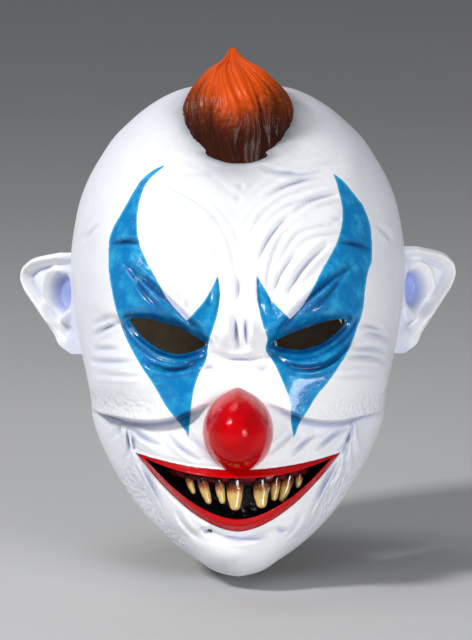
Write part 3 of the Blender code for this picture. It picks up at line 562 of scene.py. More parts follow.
def tipped(points):
    """Points of the upright face tipped back by the tilt, with the crown's seat at the origin."""
    away = np.asarray(points) - SEAT
    cos = math.cos(FACE_TILT)
    sin = math.sin(FACE_TILT)
    turned = away.copy()
    turned[..., 1] = away[..., 1] * cos + away[..., 2] * sin
    turned[..., 2] = away[..., 2] * cos - away[..., 1] * sin
    return turned


def grid_faces(rows, columns, closed=True):
    """Quads of a grid, row by row; a closed grid joins its last column to its first."""
    c = np.arange(columns if closed else columns - 1)
    r = np.arange(rows - 1)[:, None] * columns
    n = (c + 1) % columns
    return np.stack([r + c, r + columns + c, r + columns + n, r + n], axis=-1).reshape(-1, 4)


def make_piece(name, points, faces, finish, nodes, attributes=None):
    """A piece of the mask: a smooth mesh in place, its finish, and what it stands for."""
    mesh = bpy.data.meshes.new(name)
    mesh.from_pydata(tipped(points).tolist(), [], [list(f) for f in faces])
    for key, values in (attributes or {}).items():
        layer = mesh.attributes.new(key, "FLOAT", "POINT")
        layer.data.foreach_set("value", np.ascontiguousarray(values, dtype=np.float32))
    mesh.shade_smooth()
    mesh.materials.append(finish)
    piece = bpy.data.objects.new(name, mesh)
    bpy.context.scene.collection.objects.link(piece)
    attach(piece, "root")
    if nodes:
        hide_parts(*nodes)
    return piece


def column_angles(count):
    """Angles of the skin's columns, closer together beside the eyes and cheeks."""
    fine = np.linspace(-math.pi / 2, 3 * math.pi / 2, 2001)
    density = 0.7 + 1.1 * smooth_step(-50.0, -10.0, fold_angle(fine))
    total = np.concatenate([[0.0], np.cumsum((density[1:] + density[:-1]) / 2)])
    return np.interp(np.arange(count) / count * total[-1], total, fine)


def row_rounds(count):
    """Quarter turns of the rows from the nose to the outline, closer together on the face."""
    fine = np.linspace(0.0, math.pi / 2, 1001)
    density = 0.25 + smooth_step(0.05, 0.14, fine) - 0.45 * smooth_step(0.9, 1.2, fine)
    total = np.concatenate([[0.0], np.cumsum((density[1:] + density[:-1]) / 2)])
    return np.interp(np.linspace(0.0, total[-1], count), total, fine)


def skin_layer(columns, front_rows, back_rows_count, holes, thickness=0.0):
    """One face of the skin: the plain head on a grid about the nose, with the vertices near a
    hole's edge moved onto it, then the moulding, which comes straight forward on the face and
    square to the surface on its sides.  Returns points, distances inside the holes, and marks."""
    angles = column_angles(columns)
    reach = through(POLAR, 1, fold_angle(angles))
    share = np.sin(row_rounds(front_rows))[:, None]
    x = share * reach * np.cos(angles)
    z = share * reach * np.sin(angles) - NOSE_DROP
    y = front_depth(x, z)
    y[-1] = through(ROUNDING, 1, fold_angle(angles)) * FACE_DEPTH
    u, v = seen(np.stack([x, y, z], axis=-1))
    inside = np.full(u.shape, -np.inf)
    for hole in holes:
        reach_in = reach_inside(u, v, hole)
        inside = np.maximum(inside, reach_in)
        outer = reach_in < HOLE_MARGIN
        around = outer | np.roll(outer, 1, 1) | np.roll(outer, -1, 1)
        edge = ~outer & (around | np.roll(around, 1, 0) | np.roll(around, -1, 0))
        us, vs = nearest_on(u[edge], v[edge], hole)
        for _ in range(2):
            x[edge], z[edge] = unseen(us, vs, y[edge])
            y[edge] = front_depth(x[edge], z[edge])
    front = np.stack([x, y, z], axis=-1)
    runs = np.linspace(0.0, 1.0, back_rows_count + 1)[1:]
    points = np.concatenate([front, back_rows(angles, runs)])
    normals = grid_normals(points)
    facing = -normals[..., 1]
    u, v = seen(points)
    height, dark, under, lips = moulding(u, v)
    if thickness:
        for step in (-FOLD_EDGE, FOLD_EDGE):
            height = np.minimum(height, fold_moulding(u, v + step)[0] + broad_moulding(u, v))
    fade = smooth_step(0.35 * FACE_DEPTH, -0.05 * FACE_DEPTH, points[..., 1])
    fade = np.minimum(fade, smooth_step(0.05, 0.35, facing))
    forward = smooth_step(0.35, 0.60, facing)[..., None]
    straight = np.zeros_like(points)
    straight[..., 1] = -1 / np.maximum(facing, 0.35)
    way = normals * (1 - forward) + straight * forward
    points = points + way * (height * fade * MM - thickness)[..., None]
    inside = np.concatenate([inside, np.full((back_rows_count, columns), -99.0)])
    return points, inside, (u, v, dark * fade, under * fade, lips, facing), way


SKIN_HOLES = EYE_HOLES + (MOUTH_HOLE,)
skin_points, skin_inside, skin_marks, skin_way = skin_layer(
    SKIN_COLUMNS, SKIN_FRONT_ROWS, SKIN_BACK_ROWS, SKIN_HOLES)


def open_faces(inside, rows, columns):
    """Quads of a layer without those that lie wholly in a hole."""
    faces = grid_faces(rows, columns)
    return faces[inside.reshape(-1)[faces].min(axis=1) < HOLE_MARGIN]


def border_edges(faces):
    """Edges with a face on one side only, in the direction that the face runs them."""
    starts = faces.reshape(-1)
    ends = np.roll(faces, -1, axis=1).reshape(-1)
    count = faces.max() + 1
    forward = starts * count + ends
    backward = ends * count + starts
    lone = ~np.isin(forward, backward)
    return starts[lone], ends[lone]


def with_rims(points, faces, ways, depth):
    """The layer with a wall that runs back from every free edge against the given ways."""
    starts, ends = border_edges(faces)
    border = np.unique(starts)
    place = np.full(len(points), -1)
    place[border] = np.arange(len(border))
    rings = [points]
    new_faces = [faces]
    last_start, last_end = starts, ends
    total = len(points)
    for share in (0.25, 1.0):
        rings.append(points[border] - ways[border] * depth * share)
        next_start = total + place[starts]
        next_end = total + place[ends]
        new_faces.append(np.stack([last_end, last_start, next_start, next_end], axis=-1))
        last_start, last_end = next_start, next_end
        total += len(border)
    return np.concatenate(rings), np.concatenate(new_faces), border


class Value:
    """A number that varies over a surface; arithmetic on it adds Math nodes."""

    def __init__(self, finish, socket):
        self.finish = finish
        self.socket = socket

    def math(self, operation, first, second=0.0):
        return self.finish.node("Math", {"operation": operation}, {0: first, 1: second})

    def __add__(self, other):
        return self.math("ADD", self, other)

    def __sub__(self, other):
        return self.math("SUBTRACT", self, other)

    def __rsub__(self, other):
        return self.math("SUBTRACT", other, self)

    def __mul__(self, other):
        return self.math("MULTIPLY", self, other)

    def __pow__(self, other):
        return self.math("POWER", self, other)

    def most(self, other):
        return self.math("MAXIMUM", self, other)

    def least(self, other):
        return self.math("MINIMUM", self, other)

    __radd__ = __add__
    __rmul__ = __mul__


class Finish:
    """A material whose node tree is written as expressions."""

    def __init__(self, name, **constants):
        self.material = bpy.data.materials.new(name)
        self.material.use_nodes = True
        self.tree = self.material.node_tree
        self.shader = self.tree.nodes["Principled BSDF"]
        self.set(**constants)

    def plug(self, node, key, value):
        """Set or link one socket."""
        socket = node.inputs[key]
        if isinstance(value, Value):
            self.tree.links.new(value.socket, socket)
        elif isinstance(value, tuple) and len(value) == 3 and socket.type == "RGBA":
            socket.default_value = (*value, 1.0)
        else:
            socket.default_value = value

    def node(self, kind, settings, sockets, output=0):
        """Add a node: its settings first, then the values or links of its sockets."""
        made = self.tree.nodes.new("ShaderNode" + kind)
        for key, value in settings.items():
            if key == "stops":
                ramp = made.color_ramp
                while len(ramp.elements) < len(value):
                    ramp.elements.new(0.5)
                for element, (place, colour) in zip(ramp.elements, value):
                    element.position = place
                    element.color = (*colour, 1.0)
            else:
                setattr(made, key, value)
        for key, value in sockets.items():
            self.plug(made, key, value)
        return Value(self, made.outputs[output])

    def set(self, **sockets):
        """Plug values into the shader: Base_Color stands for Base Color."""
        for key, value in sockets.items():
            self.plug(self.shader, key.replace("_", " "), value)

    def mark(self, name):
        """A number kept on the mesh's points."""
        return self.node("Attribute", {"attribute_name": name}, {}, "Fac")

    def place(self):
        """Where a point lies on the mask, in metres."""
        return self.node("TexCoord", {}, {}, "Object")

    def noise(self, size, detail=2.0, rough=0.5, at=None):
        """Cloudy noise from 0 to 1 whose blotches are about size metres."""
        sockets = {"Vector": at or self.place(), "Scale": 1 / size, "Detail": detail,
                   "Roughness": rough}
        return self.node("TexNoise", {}, sockets)

    def cells(self, size, feature="F1", at=None):
        """Distance to the middle or edge of irregular cells of about size metres."""
        sockets = {"Vector": at or self.place(), "Scale": 1 / size}
        return self.node("TexVoronoi", {"feature": feature}, sockets, "Distance")

    def step(self, low, high, value):
        """0 below low, 1 above high, and an S-curve between."""
        sockets = {"Value": value, "From Min": low, "From Max": high}
        return self.node("MapRange", {"interpolation_type": "SMOOTHSTEP"}, sockets)

    def mix(self, first, second, share):
        """A colour between two colours."""
        sockets = {0: share, 6: first, 7: second}
        return self.node("Mix", {"data_type": "RGBA"}, sockets, 2)

    def bump(self, height, distance, strength=1.0, normal=None):
        """A normal that follows a height from 0 to 1 over distance metres."""
        sockets = {"Height": height, "Distance": distance, "Strength": strength}
        if normal:
            sockets["Normal"] = normal
        return self.node("Bump", {}, sockets, "Normal")


SKIN_WHITE = (0.83, 0.84, 0.86)
SKIN_SHADE = (0.25, 0.29, 0.52)
HALO_GREY = (0.20, 0.21, 0.25)
CREASE_CURVE = 2.0
CREASE_SHADE = 0.75
CLOUD_SHADE = 0.12
SHADE_MOST = 0.95
BLUE_PAINT = (0.0, 0.18, 0.46)
BLUE_SHADE = (0.0, 0.025, 0.13)
BLUE_LIGHT = (0.03, 0.42, 0.68)
LIP_RED = (0.50, 0.0, 0.002)
LIP_SHADE = (0.12, 0.0, 0.003)


def skin_finish():
    """White latex with its painted blue diamonds and red lips.

    The paint lies where the distance inside its outline passes zero, with a hand-painted wobble.
    The lavender in the white's creases is partly the mask's airbrushed wash and partly painted
    shade; painted shade also darkens the white under the cheek folds and on the sides that turn
    away, the blue in creases, under the folds and round the eye holes, and the red towards the
    lips' edges and in creases. The pores and pebbles of the mould are bumps.
    """
    skin = Finish("skin_white", IOR=1.45)
    wobble = skin.noise(3.0 * MM, 3.0) - 0.5
    cloud = skin.noise(14.0 * MM, 4.0)
    dark = skin.mark("crease")
    shade = skin.mark("shade")
    blue_reach = skin.mark("blue") + wobble * 0.7
    lip_reach = skin.mark("lip") + wobble * 0.5
    blue = skin.step(-0.2, 0.2, blue_reach)
    lip = skin.step(-0.2, 0.2, lip_reach)

    # The lavender on the white is partly airbrushed wash and partly painted shade: in creases, under
    # the cheek folds and on the sides that turn away.
    shade_and_wash = shade + dark ** CREASE_CURVE * CREASE_SHADE + (cloud - 0.5) * CLOUD_SHADE
    white = skin.mix(SKIN_WHITE, SKIN_SHADE, shade_and_wash.least(SHADE_MOST))
    white = skin.mix(white, HALO_GREY, skin.mark("halo") * (0.55 + cloud * 0.6))

    mottle = skin.step(0.42, 0.75, skin.noise(9.0 * MM, 5.0, 0.6))
    paint = skin.mix(BLUE_PAINT, BLUE_LIGHT, mottle * 0.75)
    rim = skin.step(1.5, 0.3, blue_reach)
    paint = skin.mix(paint, BLUE_LIGHT, rim * 0.6)
    # Painted shade: the blue darkens in creases, under the cheek folds and round the eye holes.
    paint = skin.mix(paint, BLUE_SHADE, (dark * 0.9 + skin.mark("deep") * 0.7).least(1.0))

    # Painted shade: the red darkens towards the lips' edges, where they roll away, and in creases.
    red = skin.mix(LIP_RED, LIP_SHADE, (skin.step(1.2, 0.0, lip_reach) * 0.7 + dark).least(1.0))
    colour = skin.mix(white, paint, blue)
    colour = skin.mix(colour, red, lip)
    skin.set(Base_Color=colour)

    painted = blue.most(lip)
    patch = skin.noise(6.0 * MM, 3.0)
    skin.set(Roughness=0.42 - painted * 0.16 + (patch - 0.5) * 0.16)
    skin.set(Coat_Weight=blue * 0.6 + lip * 0.25)
    skin.set(Coat_IOR=1.35)
    skin.set(Specular_IOR_Level=0.25)
    skin.set(Coat_Roughness=0.10)

    pores = skin.noise(0.9 * MM, 2.0)
    ripple = skin.noise(4.5 * MM, 3.0, 0.55)
    pebbles = skin.cells(2.6 * MM, "SMOOTH_F1") * skin.mark("pebble")
    normal = skin.bump(pores, 0.10 * MM, 0.6)
    normal = skin.bump(ripple, 0.9 * MM, 0.35 + blue * 0.35, normal)
    normal = skin.bump(1 - pebbles, 1.0 * MM, 1.0, normal)
    skin.set(Normal=normal)
    return skin.material


TUFT_WIDTH = 0.0588
TUFT_HEIGHT = 0.0360
TUFT_LEVEL = 0.1195
TUFT_SETBACK = 0.0590
HALO_REACH = 0.0075
PEBBLE_RISE = 6.0
PEBBLE_HALF = 7.0
PEBBLE_SIDES = (30.0, 55.0)
JAW_LEVELS = (-60.0, -85.0)
SIDE_SHADE = 0.16
FOLD_SHADE = 0.75
LID_SHADE = 0.8
LID_SHADE_REACH = 3.0


def skin_attributes(points, marks):
    """The numbers that the skin's finish reads: distances inside the painted outlines, how strongly
    creases and recesses show, where painted shade falls on the sides that turn away, under the cheek
    folds and round the eye holes, and the pebbles and the tuft's airbrushed halo."""
    u, v, dark, under, lips, facing = marks
    blue = np.maximum(
        reach_inside(u, v, outline_of(BLUE_LEFT)), reach_inside(u, v, outline_of(BLUE_RIGHT)))
    blue = np.where(facing > 0, blue, -9.0)
    lips = np.where(facing > 0, lips, -9.0)
    from_tuft = np.hypot(points[..., 0], points[..., 1] - TUFT_SETBACK + FACE_DEPTH)
    halo = np.exp(-np.maximum(from_tuft - TUFT_WIDTH / 2, 0) / HALO_REACH)
    halo = halo * (points[..., 2] > 0.5 * TUFT_LEVEL)
    side = np.abs(u)
    fold_level = through(CHEEK_FOLD, 1, np.clip(side, CHEEK_FOLD[0, 0], CHEEK_FOLD[-1, 0]))
    cheek = np.exp(-((v - fold_level - PEBBLE_RISE) / PEBBLE_HALF) ** 2)
    cheek = cheek * smooth_step(*PEBBLE_SIDES, side)
    jaw = smooth_step(0.60, 0.25, facing) * smooth_step(*JAW_LEVELS, v)
    # Painted shade: the white darkens on the sides that turn away from the front and under each cheek
    # fold.
    shade = SIDE_SHADE * smooth_step(0.85, 0.35, facing) * (facing > -0.2) + FOLD_SHADE * under
    # Painted shade on the blue: under the cheek folds and in a band round each eye hole's edge.
    deep = under
    for hole in EYE_HOLES:
        outside = np.maximum(-reach_inside(u, v, hole), 0)
        deep = deep + LID_SHADE * np.exp(-(outside / LID_SHADE_REACH) ** 2)
    return {
        "blue": blue, "lip": lips, "crease": dark, "shade": np.clip(shade, 0.0, 1.0),
        "deep": np.clip(deep, 0.0, 1.0), "halo": halo, "pebble": np.clip(cheek + jaw, 0.0, 1.0),
    }


skin_rows = SKIN_FRONT_ROWS + SKIN_BACK_ROWS
skin_faces = open_faces(skin_inside, skin_rows, SKIN_COLUMNS)
flat_points = skin_points.reshape(-1, 3)
flat_ways = skin_way.reshape(-1, 3)
all_points, all_faces, skin_border = with_rims(flat_points, skin_faces, flat_ways, WALL)
skin_values = {}
for key, values in skin_attributes(skin_points, skin_marks).items():
    values = values.reshape(-1)
    skin_values[key] = np.concatenate([values, values[skin_border], values[skin_border]])
SKIN = skin_finish()
make_piece("mask_skin", all_points, all_faces, SKIN, ["mask_shell"], skin_values)

# The inside of the skin
# The bare back of the same latex: unpainted, matt and cream, with the ripples of its pouring.
LINER_COLUMNS = 200
LINER_FRONT_ROWS = 70
LINER_BACK_ROWS = 20
LINER_CLEAR = 1.6
RAW_LATEX = (0.50, 0.42, 0.30)
RAW_DEEP = (0.34, 0.26, 0.17)


def inside_finish():
    """Raw latex: cream, blotched and matt, with the runs and ripples that pouring leaves."""
    raw = Finish("latex_inside", Roughness=0.7)
    blotch = raw.noise(18.0 * MM, 4.0)
    raw.set(Base_Color=raw.mix(RAW_LATEX, RAW_DEEP, raw.step(0.35, 0.8, blotch)))
    ripple = raw.noise(6.0 * MM, 3.0)
    raw.set(Normal=raw.bump(ripple, 0.8 * MM, 0.6))
    return raw.material


def widened(hole):
    """A closed outline drawn out from its middle, so that the lining ends short of the hole."""
    middle = hole.mean(axis=0)
    return middle + (hole - middle) * (1 + 2 * LINER_CLEAR / np.ptp(hole, axis=0))


liner_holes = [widened(hole) for hole in SKIN_HOLES]
liner_points, liner_inside, _, _ = skin_layer(
    LINER_COLUMNS, LINER_FRONT_ROWS, LINER_BACK_ROWS, liner_holes, WALL)
liner_rows = LINER_FRONT_ROWS + LINER_BACK_ROWS
liner_faces = open_faces(liner_inside, liner_rows, LINER_COLUMNS)[:, ::-1]
make_piece("mask_inside", liner_points.reshape(-1, 3), liner_faces, inside_finish(),
           [])

# The ears
# Two cupped ears cast in one with the skin, with a rolled rim, a forked inner ridge and a deep
# bowl, white like the skin, with lavender in their hollows that is partly airbrushed and partly
# painted shade, and a painted shadow in the deep hollow low in the bowl.
EAR_REACH = 0.0375
EAR_SETBACK = 0.0105
EAR_LEAN = math.radians(40.0)
EAR_WALL = 0.003
EAR_CUP = 0.0085
EAR_ROWS = 76
EAR_MIDDLE = (0.36, 0.62)
EAR_SHADE = (0.24, 0.31, 0.66)
EAR_LEVELS = {"left": (-0.0105, 0.0560), "right": (-0.0100, 0.0590)}

# The ear's free edge: level as a share of its height and reach as a share of its full reach.
EAR_EDGE = np.array([
    (0.00, 0.00), (0.06, 0.16), (0.20, 0.34), (0.34, 0.53), (0.50, 0.75), (0.65, 0.94),
    (0.78, 1.00), (0.89, 0.89), (0.96, 0.64), (1.00, 0.22),
])

# Swells and hollows of the ear's front in millimetres: height, place across, level as a share of
# the ear's height, half width and half height.
EAR_SWELLS = (
    (-2.2, 5.0, 0.86, 5.0, 2.6), (4.0, 2.0, 0.36, 3.4, 4.2), (-2.6, 4.5, 0.25, 2.6, 2.4),
    (1.2, 7.0, 0.12, 5.0, 4.5),
)

# The ear's back: shares of the way from its middle to its edge at which its rings lie, and the
# depth at such shares, as a share of the cup's depth.
EAR_BACK_RINGS = np.array([0.985, 0.95, 0.90, 0.80, 0.70, 0.60, 0.45, 0.30, 0.15, 0.0])
EAR_BACK = np.array([(0.0, -1.0), (0.35, -1.0), (0.62, -0.75), (0.90, -0.15), (1.0, 0.12)])


def ear_front(a, b, edge, height):
    """Depth of the ear's front over its plane, from the distance to its free edge and the place
    on it: a rolled rim, a groove behind it, a ridge round the bowl, the bowl and its flap."""
    upper = smooth_step(0.12, 0.40, b / height)
    w = -1.2 * smooth_step(0.0, 9.0, edge)
    w += upper * 2.8 * np.exp(-((edge - 2.3) / 1.9) ** 2)
    w -= upper * 3.2 * np.exp(-((edge - 6.4) / 1.7) ** 2)
    across = (a - 9.0) / 9.5
    along = (b - 0.60 * height) / 12.5
    bowl = np.hypot(across, along)
    w -= 7.5 * smooth_step(1.05, 0.55, bowl)
    w += 2.4 * np.exp(-((bowl - 1.28) / 0.20) ** 2) * smooth_step(0.08, 0.3, b / height)
    for rise, across, level, half_across, half_up in EAR_SWELLS:
        along = (b - level * height) / half_up
        w += rise * np.exp(-((a - across) / half_across) ** 2 - along ** 2)
    return w


def ear_finish():
    """White latex as on the head, with lavender in the ear's hollows that is partly airbrushed and
    partly painted shade, and a near black painted shadow in the deep hollow low in its bowl."""
    ear = Finish("ear_white", IOR=1.45)
    hollow = ear.mark("hollow")
    cloud = ear.noise(8.0 * MM, 3.0)
    # The lavender is partly airbrush and partly painted shade; the near black is a painted shadow.
    colour = ear.mix(SKIN_WHITE, EAR_SHADE, (hollow * (0.6 + cloud * 0.6)).least(0.95))
    colour = ear.mix(colour, (0.02, 0.025, 0.06), ear.mark("notch"))
    ear.set(Base_Color=colour)
    ear.set(Roughness=0.36 + (cloud - 0.5) * 0.2)
    normal = ear.bump(ear.noise(0.9 * MM, 2.0), 0.10 * MM, 0.6)
    ear.set(Normal=ear.bump(ear.noise(3.5 * MM, 3.0), 0.7 * MM, 0.4, normal))
    return ear.material


def make_ear(name, side, level, height, finish):
    """A cupped ear: rings about its bowl from the hollow out to the edge, round it, and back
    behind to the middle, on a plane that leans away from the head."""
    levels = 0.5 - 0.5 * np.cos(np.linspace(0.0, math.pi, 110))
    free = np.column_stack([through(EAR_EDGE, 1, levels) * EAR_REACH, levels * height])
    root_levels = levels[::-1][1:-1]
    head_level = (root_levels * height + level + CHIN_DROP) / HEAD_HEIGHT
    skin_at = (through(OUTLINE, 1, head_level) - 1) * HALF_WIDTH - 0.0025
    root = np.column_stack([skin_at / math.cos(EAR_LEAN), root_levels * height])
    edge = np.concatenate([free, root])
    middle = np.array([EAR_MIDDLE[0] * EAR_REACH, EAR_MIDDLE[1] * height])
    share = np.sin(np.linspace(0.0, math.pi / 2, EAR_ROWS))[1:, None, None]
    front = middle + (edge - middle) * share
    ab = front / MM
    root_side = np.concatenate([free, [[-0.02, height], [-0.02, 0.0]]]) / MM
    gap = reach_inside(ab[..., 0], ab[..., 1], root_side)
    w = ear_front(ab[..., 0], ab[..., 1], np.maximum(gap, 0.0), height / MM) * MM
    toward = smooth_step(-2.0, 6.0, ab[..., 0])
    w = w * toward
    behind_depth = np.interp(EAR_BACK_RINGS, *EAR_BACK.T) * EAR_CUP - EAR_WALL
    back = middle + (edge - middle) * EAR_BACK_RINGS[:, None, None]
    ab_all = np.concatenate([front, back])
    w_all = np.concatenate([w, behind_depth[:, None] + 0 * back[..., 0]])
    out = ab_all[..., 0] * math.cos(EAR_LEAN) + w_all * math.sin(EAR_LEAN)
    depth = ab_all[..., 0] * math.sin(EAR_LEAN) - w_all * math.cos(EAR_LEAN)
    points = np.stack([side * (HALF_WIDTH + out), EAR_SETBACK + depth, level + ab_all[..., 1]], -1)
    rows, columns = points.shape[:2]
    faces = grid_faces(rows, columns)
    pole = points[0].mean(axis=0)[None]
    flat = np.concatenate([points.reshape(-1, 3), pole])
    ring = np.arange(columns)
    cap = np.stack([np.full(columns, len(flat) - 1), ring, (ring + 1) % columns], axis=-1)
    every = [list(f) for f in faces] + [list(f) for f in cap]
    if side > 0:
        every = [f[::-1] for f in every]
    hollow = np.zeros(points.shape[:2])
    # Painted shade: lavender the deeper the bowl, and near the root where the ear meets the head.
    hollow[:len(w)] = smooth_step(-0.5, -9.0, w / MM) + 0.35 * smooth_step(8.0, 0.0, ab[..., 0])
    # Painted shadow: a near black spot in the deep hollow low in the bowl.
    notch = np.zeros(points.shape[:2])
    a, b = ab[..., 0], ab[..., 1]
    notch[:len(w)] = 0.9 * np.exp(-((a - 5.2) / 1.3) ** 2 - ((b - 0.30 * height / MM) / 2.6) ** 2)
    values = {
        "hollow": np.append(np.clip(hollow, 0.0, 1.0).reshape(-1), 1.0),
        "notch": np.append(notch.reshape(-1), 0.0),
    }
    make_piece(name + "_cup", flat, every, finish, [name], values)


EAR_WHITE = ear_finish()
for ear_side, word in ((-1, "left"), (1, "right")):
    make_ear("ear_" + word, ear_side, *EAR_LEVELS[word], EAR_WHITE)

# The ball nose
# A hollow egg of glossy red latex on the middle of the face, with a small peak on top.
NOSE_WIDTH = 0.0385
NOSE_HEIGHT = 0.0445
NOSE_REACH = 0.0285
NOSE_PEAK = 0.0016
NOSE_TAPER = 0.03
NOSE_SINK = 0.009
NOSE_RED = (0.54, 0.0, 0.003)
NOSE_DEEP = (0.34, 0.0, 0.003)


def nose_points(columns=160, rows=72):
    """The egg: quarter turns from its tip back into the face, a little narrower above, with a
    peak at the top."""
    angles = np.linspace(0.0, 2 * math.pi, columns, endpoint=False)
    bends = np.linspace(0.0, math.pi / 2, rows)
    share = np.sin(bends)[:, None] ** 0.95
    peak = np.exp(-((angles - math.pi / 2) / 0.22) ** 2) * NOSE_PEAK * share ** 3
    x = share * NOSE_WIDTH / 2 * np.cos(angles) * (1 - NOSE_TAPER * np.sin(angles))
    z = share * (NOSE_HEIGHT / 2 * np.sin(angles)) + peak - NOSE_DROP
    y = NOSE_SINK - FACE_DEPTH - (NOSE_REACH + NOSE_SINK) * np.cos(bends)[:, None] + 0 * angles
    return np.stack([x, y, z], axis=-1)


def nose_finish():
    """Glossy red, thicker and darker where the paint ran, with the small dents of the mould."""
    red = Finish(
        "nose_red", Coat_Weight=0.5, Coat_Roughness=0.05, Coat_IOR=1.25, Specular_IOR_Level=0.08)
    cloud = red.noise(12.0 * MM, 3.0)
    red.set(Base_Color=red.mix(NOSE_RED, NOSE_DEEP, red.step(0.45, 0.85, cloud)))
    red.set(Roughness=0.16 + (red.noise(4.0 * MM, 3.0) - 0.5) * 0.16)
    normal = red.bump(red.noise(9.0 * MM, 2.0), 1.6 * MM, 0.4)
    red.set(Normal=red.bump(red.noise(2.2 * MM, 2.0), 0.5 * MM, 0.35, normal))
    return red.material


def capped(points):
    """Vertices and faces of a grid that starts at a pole and is closed behind by a flat fan."""
    rows, columns = points.shape[:2]
    flat = np.concatenate([points.reshape(-1, 3), points[-1].mean(axis=0)[None]])
    ring = (rows - 1) * columns + np.arange(columns)
    after = (rows - 1) * columns + (np.arange(columns) + 1) % columns
    fan = np.stack([ring, np.full(columns, len(flat) - 1), after], axis=-1)
    return flat, [list(f) for f in grid_faces(rows, columns)[columns:]] + [
        [0, columns + c, columns + (c + 1) % columns] for c in range(columns)
    ] + [list(f) for f in fan]


nose_flat, nose_faces = capped(nose_points())
make_piece("ball_nose", nose_flat, nose_faces, nose_finish(), ["nose"])

# The tuft of hair
# An onion of moulded latex locks on the crown that run together at the tip, airbrushed from
# bright orange at the top to brown and near black round its foot. Over that, its lit front is
# painted brighter, its back and the grooves between its locks darker as painted shade, and light
# streaks along the locks are painted highlights.
TUFT_LOCKS = 16
TUFT_STRANDS = 24
TUFT_HAIRS = 56
TUFT_TWIST = 0.5
LOCK_ROUNDING = 0.7
LOCK_SHARE = 1.5
STRAND_SHARE = 0.65
HAIR_SHARE = 0.16
RIB_SINK = 1.3
LOCK_DEPTH = 0.0012
FOOT_RADIUS = 0.99
FOOT_SINK = 0.0035
TUFT_LEAN = 0.0030
TUFT_PROFILE = np.array([
    # height above the widest level and radius, as shares of the height and of half the width
    (0.00, 1.000), (0.12, 0.985), (0.34, 0.880), (0.54, 0.673), (0.72, 0.430), (0.82, 0.235),
    (0.91, 0.125), (1.00, 0.070),
])
TUFT_TOP_ROWS = 120
LIT_PLACE = -0.002
LIT_HALF = 0.30
LIT_SHARE = 0.50
TUFT_SKIRT_ROWS = 40
HAIR_BRIGHT = (0.62, 0.070, 0.004)
HAIR_BROWN = (0.17, 0.030, 0.006)
HAIR_DARK = (0.010, 0.002, 0.0015)
HAIR_HIGHLIGHT = (0.62, 0.30, 0.13)


def crown_height(x, y):
    """Height of the plain head over a place on the crown, by halving the range it lies in."""
    low = np.full(x.shape, 0.0)
    high = np.full(x.shape, HEAD_HEIGHT - CHIN_DROP)
    for _ in range(30):
        middle = (low + high) / 2
        inside = front_depth(x, middle) < y
        low = np.where(inside, middle, low)
        high = np.where(inside, high, middle)
    return (low + high) / 2


def tuft_points(columns=336):
    """The onion: rings of the profile's radius, ribbed into locks that twist a little towards
    the tip, then a skirt down to the crown.  Also each point's share of the height and the depth
    of the groove between locks."""
    angles = np.linspace(0.0, 2 * math.pi, columns, endpoint=False)
    t = np.linspace(1.0, 0.0, TUFT_TOP_ROWS)
    heights = t[:, None] + 0 * angles
    radii = through(TUFT_PROFILE, 1, t)[:, None] * TUFT_WIDTH / 2
    skirt_share = np.linspace(0.0, 1.0, TUFT_SKIRT_ROWS + 1)[1:, None]
    skirt_radii = (1.0 - (1.0 - FOOT_RADIUS) * skirt_share) * TUFT_WIDTH / 2
    foot_x = FOOT_RADIUS * TUFT_WIDTH / 2 * np.cos(angles)
    foot_y = TUFT_SETBACK - FACE_DEPTH + FOOT_RADIUS * TUFT_WIDTH / 2 * np.sin(angles)
    foot = (crown_height(foot_x, foot_y) - FOOT_SINK - TUFT_LEVEL) / TUFT_HEIGHT
    heights = np.concatenate([heights, skirt_share * np.minimum(foot, 0.0)])
    radii = np.concatenate([radii, skirt_radii]) + 0 * angles
    twist = TUFT_TWIST * np.clip(heights, 0, 1) ** 2 + 0.10 * np.sin(3 * angles + 2.0)
    phase = angles + twist + 0.07 * np.sin(5 * angles + 6 * heights)
    lock = np.abs(np.sin(phase * TUFT_LOCKS / 2)) ** LOCK_ROUNDING
    strand = np.abs(np.sin(phase * TUFT_STRANDS + 1.5 * np.sin(4 * heights + 3 * angles)))
    fine = np.sin(phase * TUFT_HAIRS + 2 * np.sin(3 * angles))
    rib = LOCK_DEPTH * (LOCK_SHARE * lock + STRAND_SHARE * strand + HAIR_SHARE * fine - RIB_SINK)
    rib *= np.minimum(radii * 6 / TUFT_WIDTH, 1.0)
    rib[TUFT_TOP_ROWS:] *= 1.0 - 0.75 * smooth_step(0.1, 0.8, skirt_share)
    radius = radii + rib
    tip = np.clip(heights, 0.0, 1.0) ** 2
    x = radius * np.cos(angles) - TUFT_LEAN * tip
    y = TUFT_SETBACK - FACE_DEPTH + radius * np.sin(angles)
    z = TUFT_LEVEL + heights * TUFT_HEIGHT
    rings = np.stack([x, y, z], axis=-1)
    pole = rings[:1].mean(axis=1, keepdims=True) + np.array([0.0, 0.0, 0.0010])
    points = np.concatenate([np.repeat(pole, columns, axis=1), rings])
    heights = np.concatenate([heights[:1], heights])
    groove = 1 - (0.65 * lock + 0.35 * strand)
    groove = np.concatenate([groove[:1] * 0, groove])
    return points, heights, groove


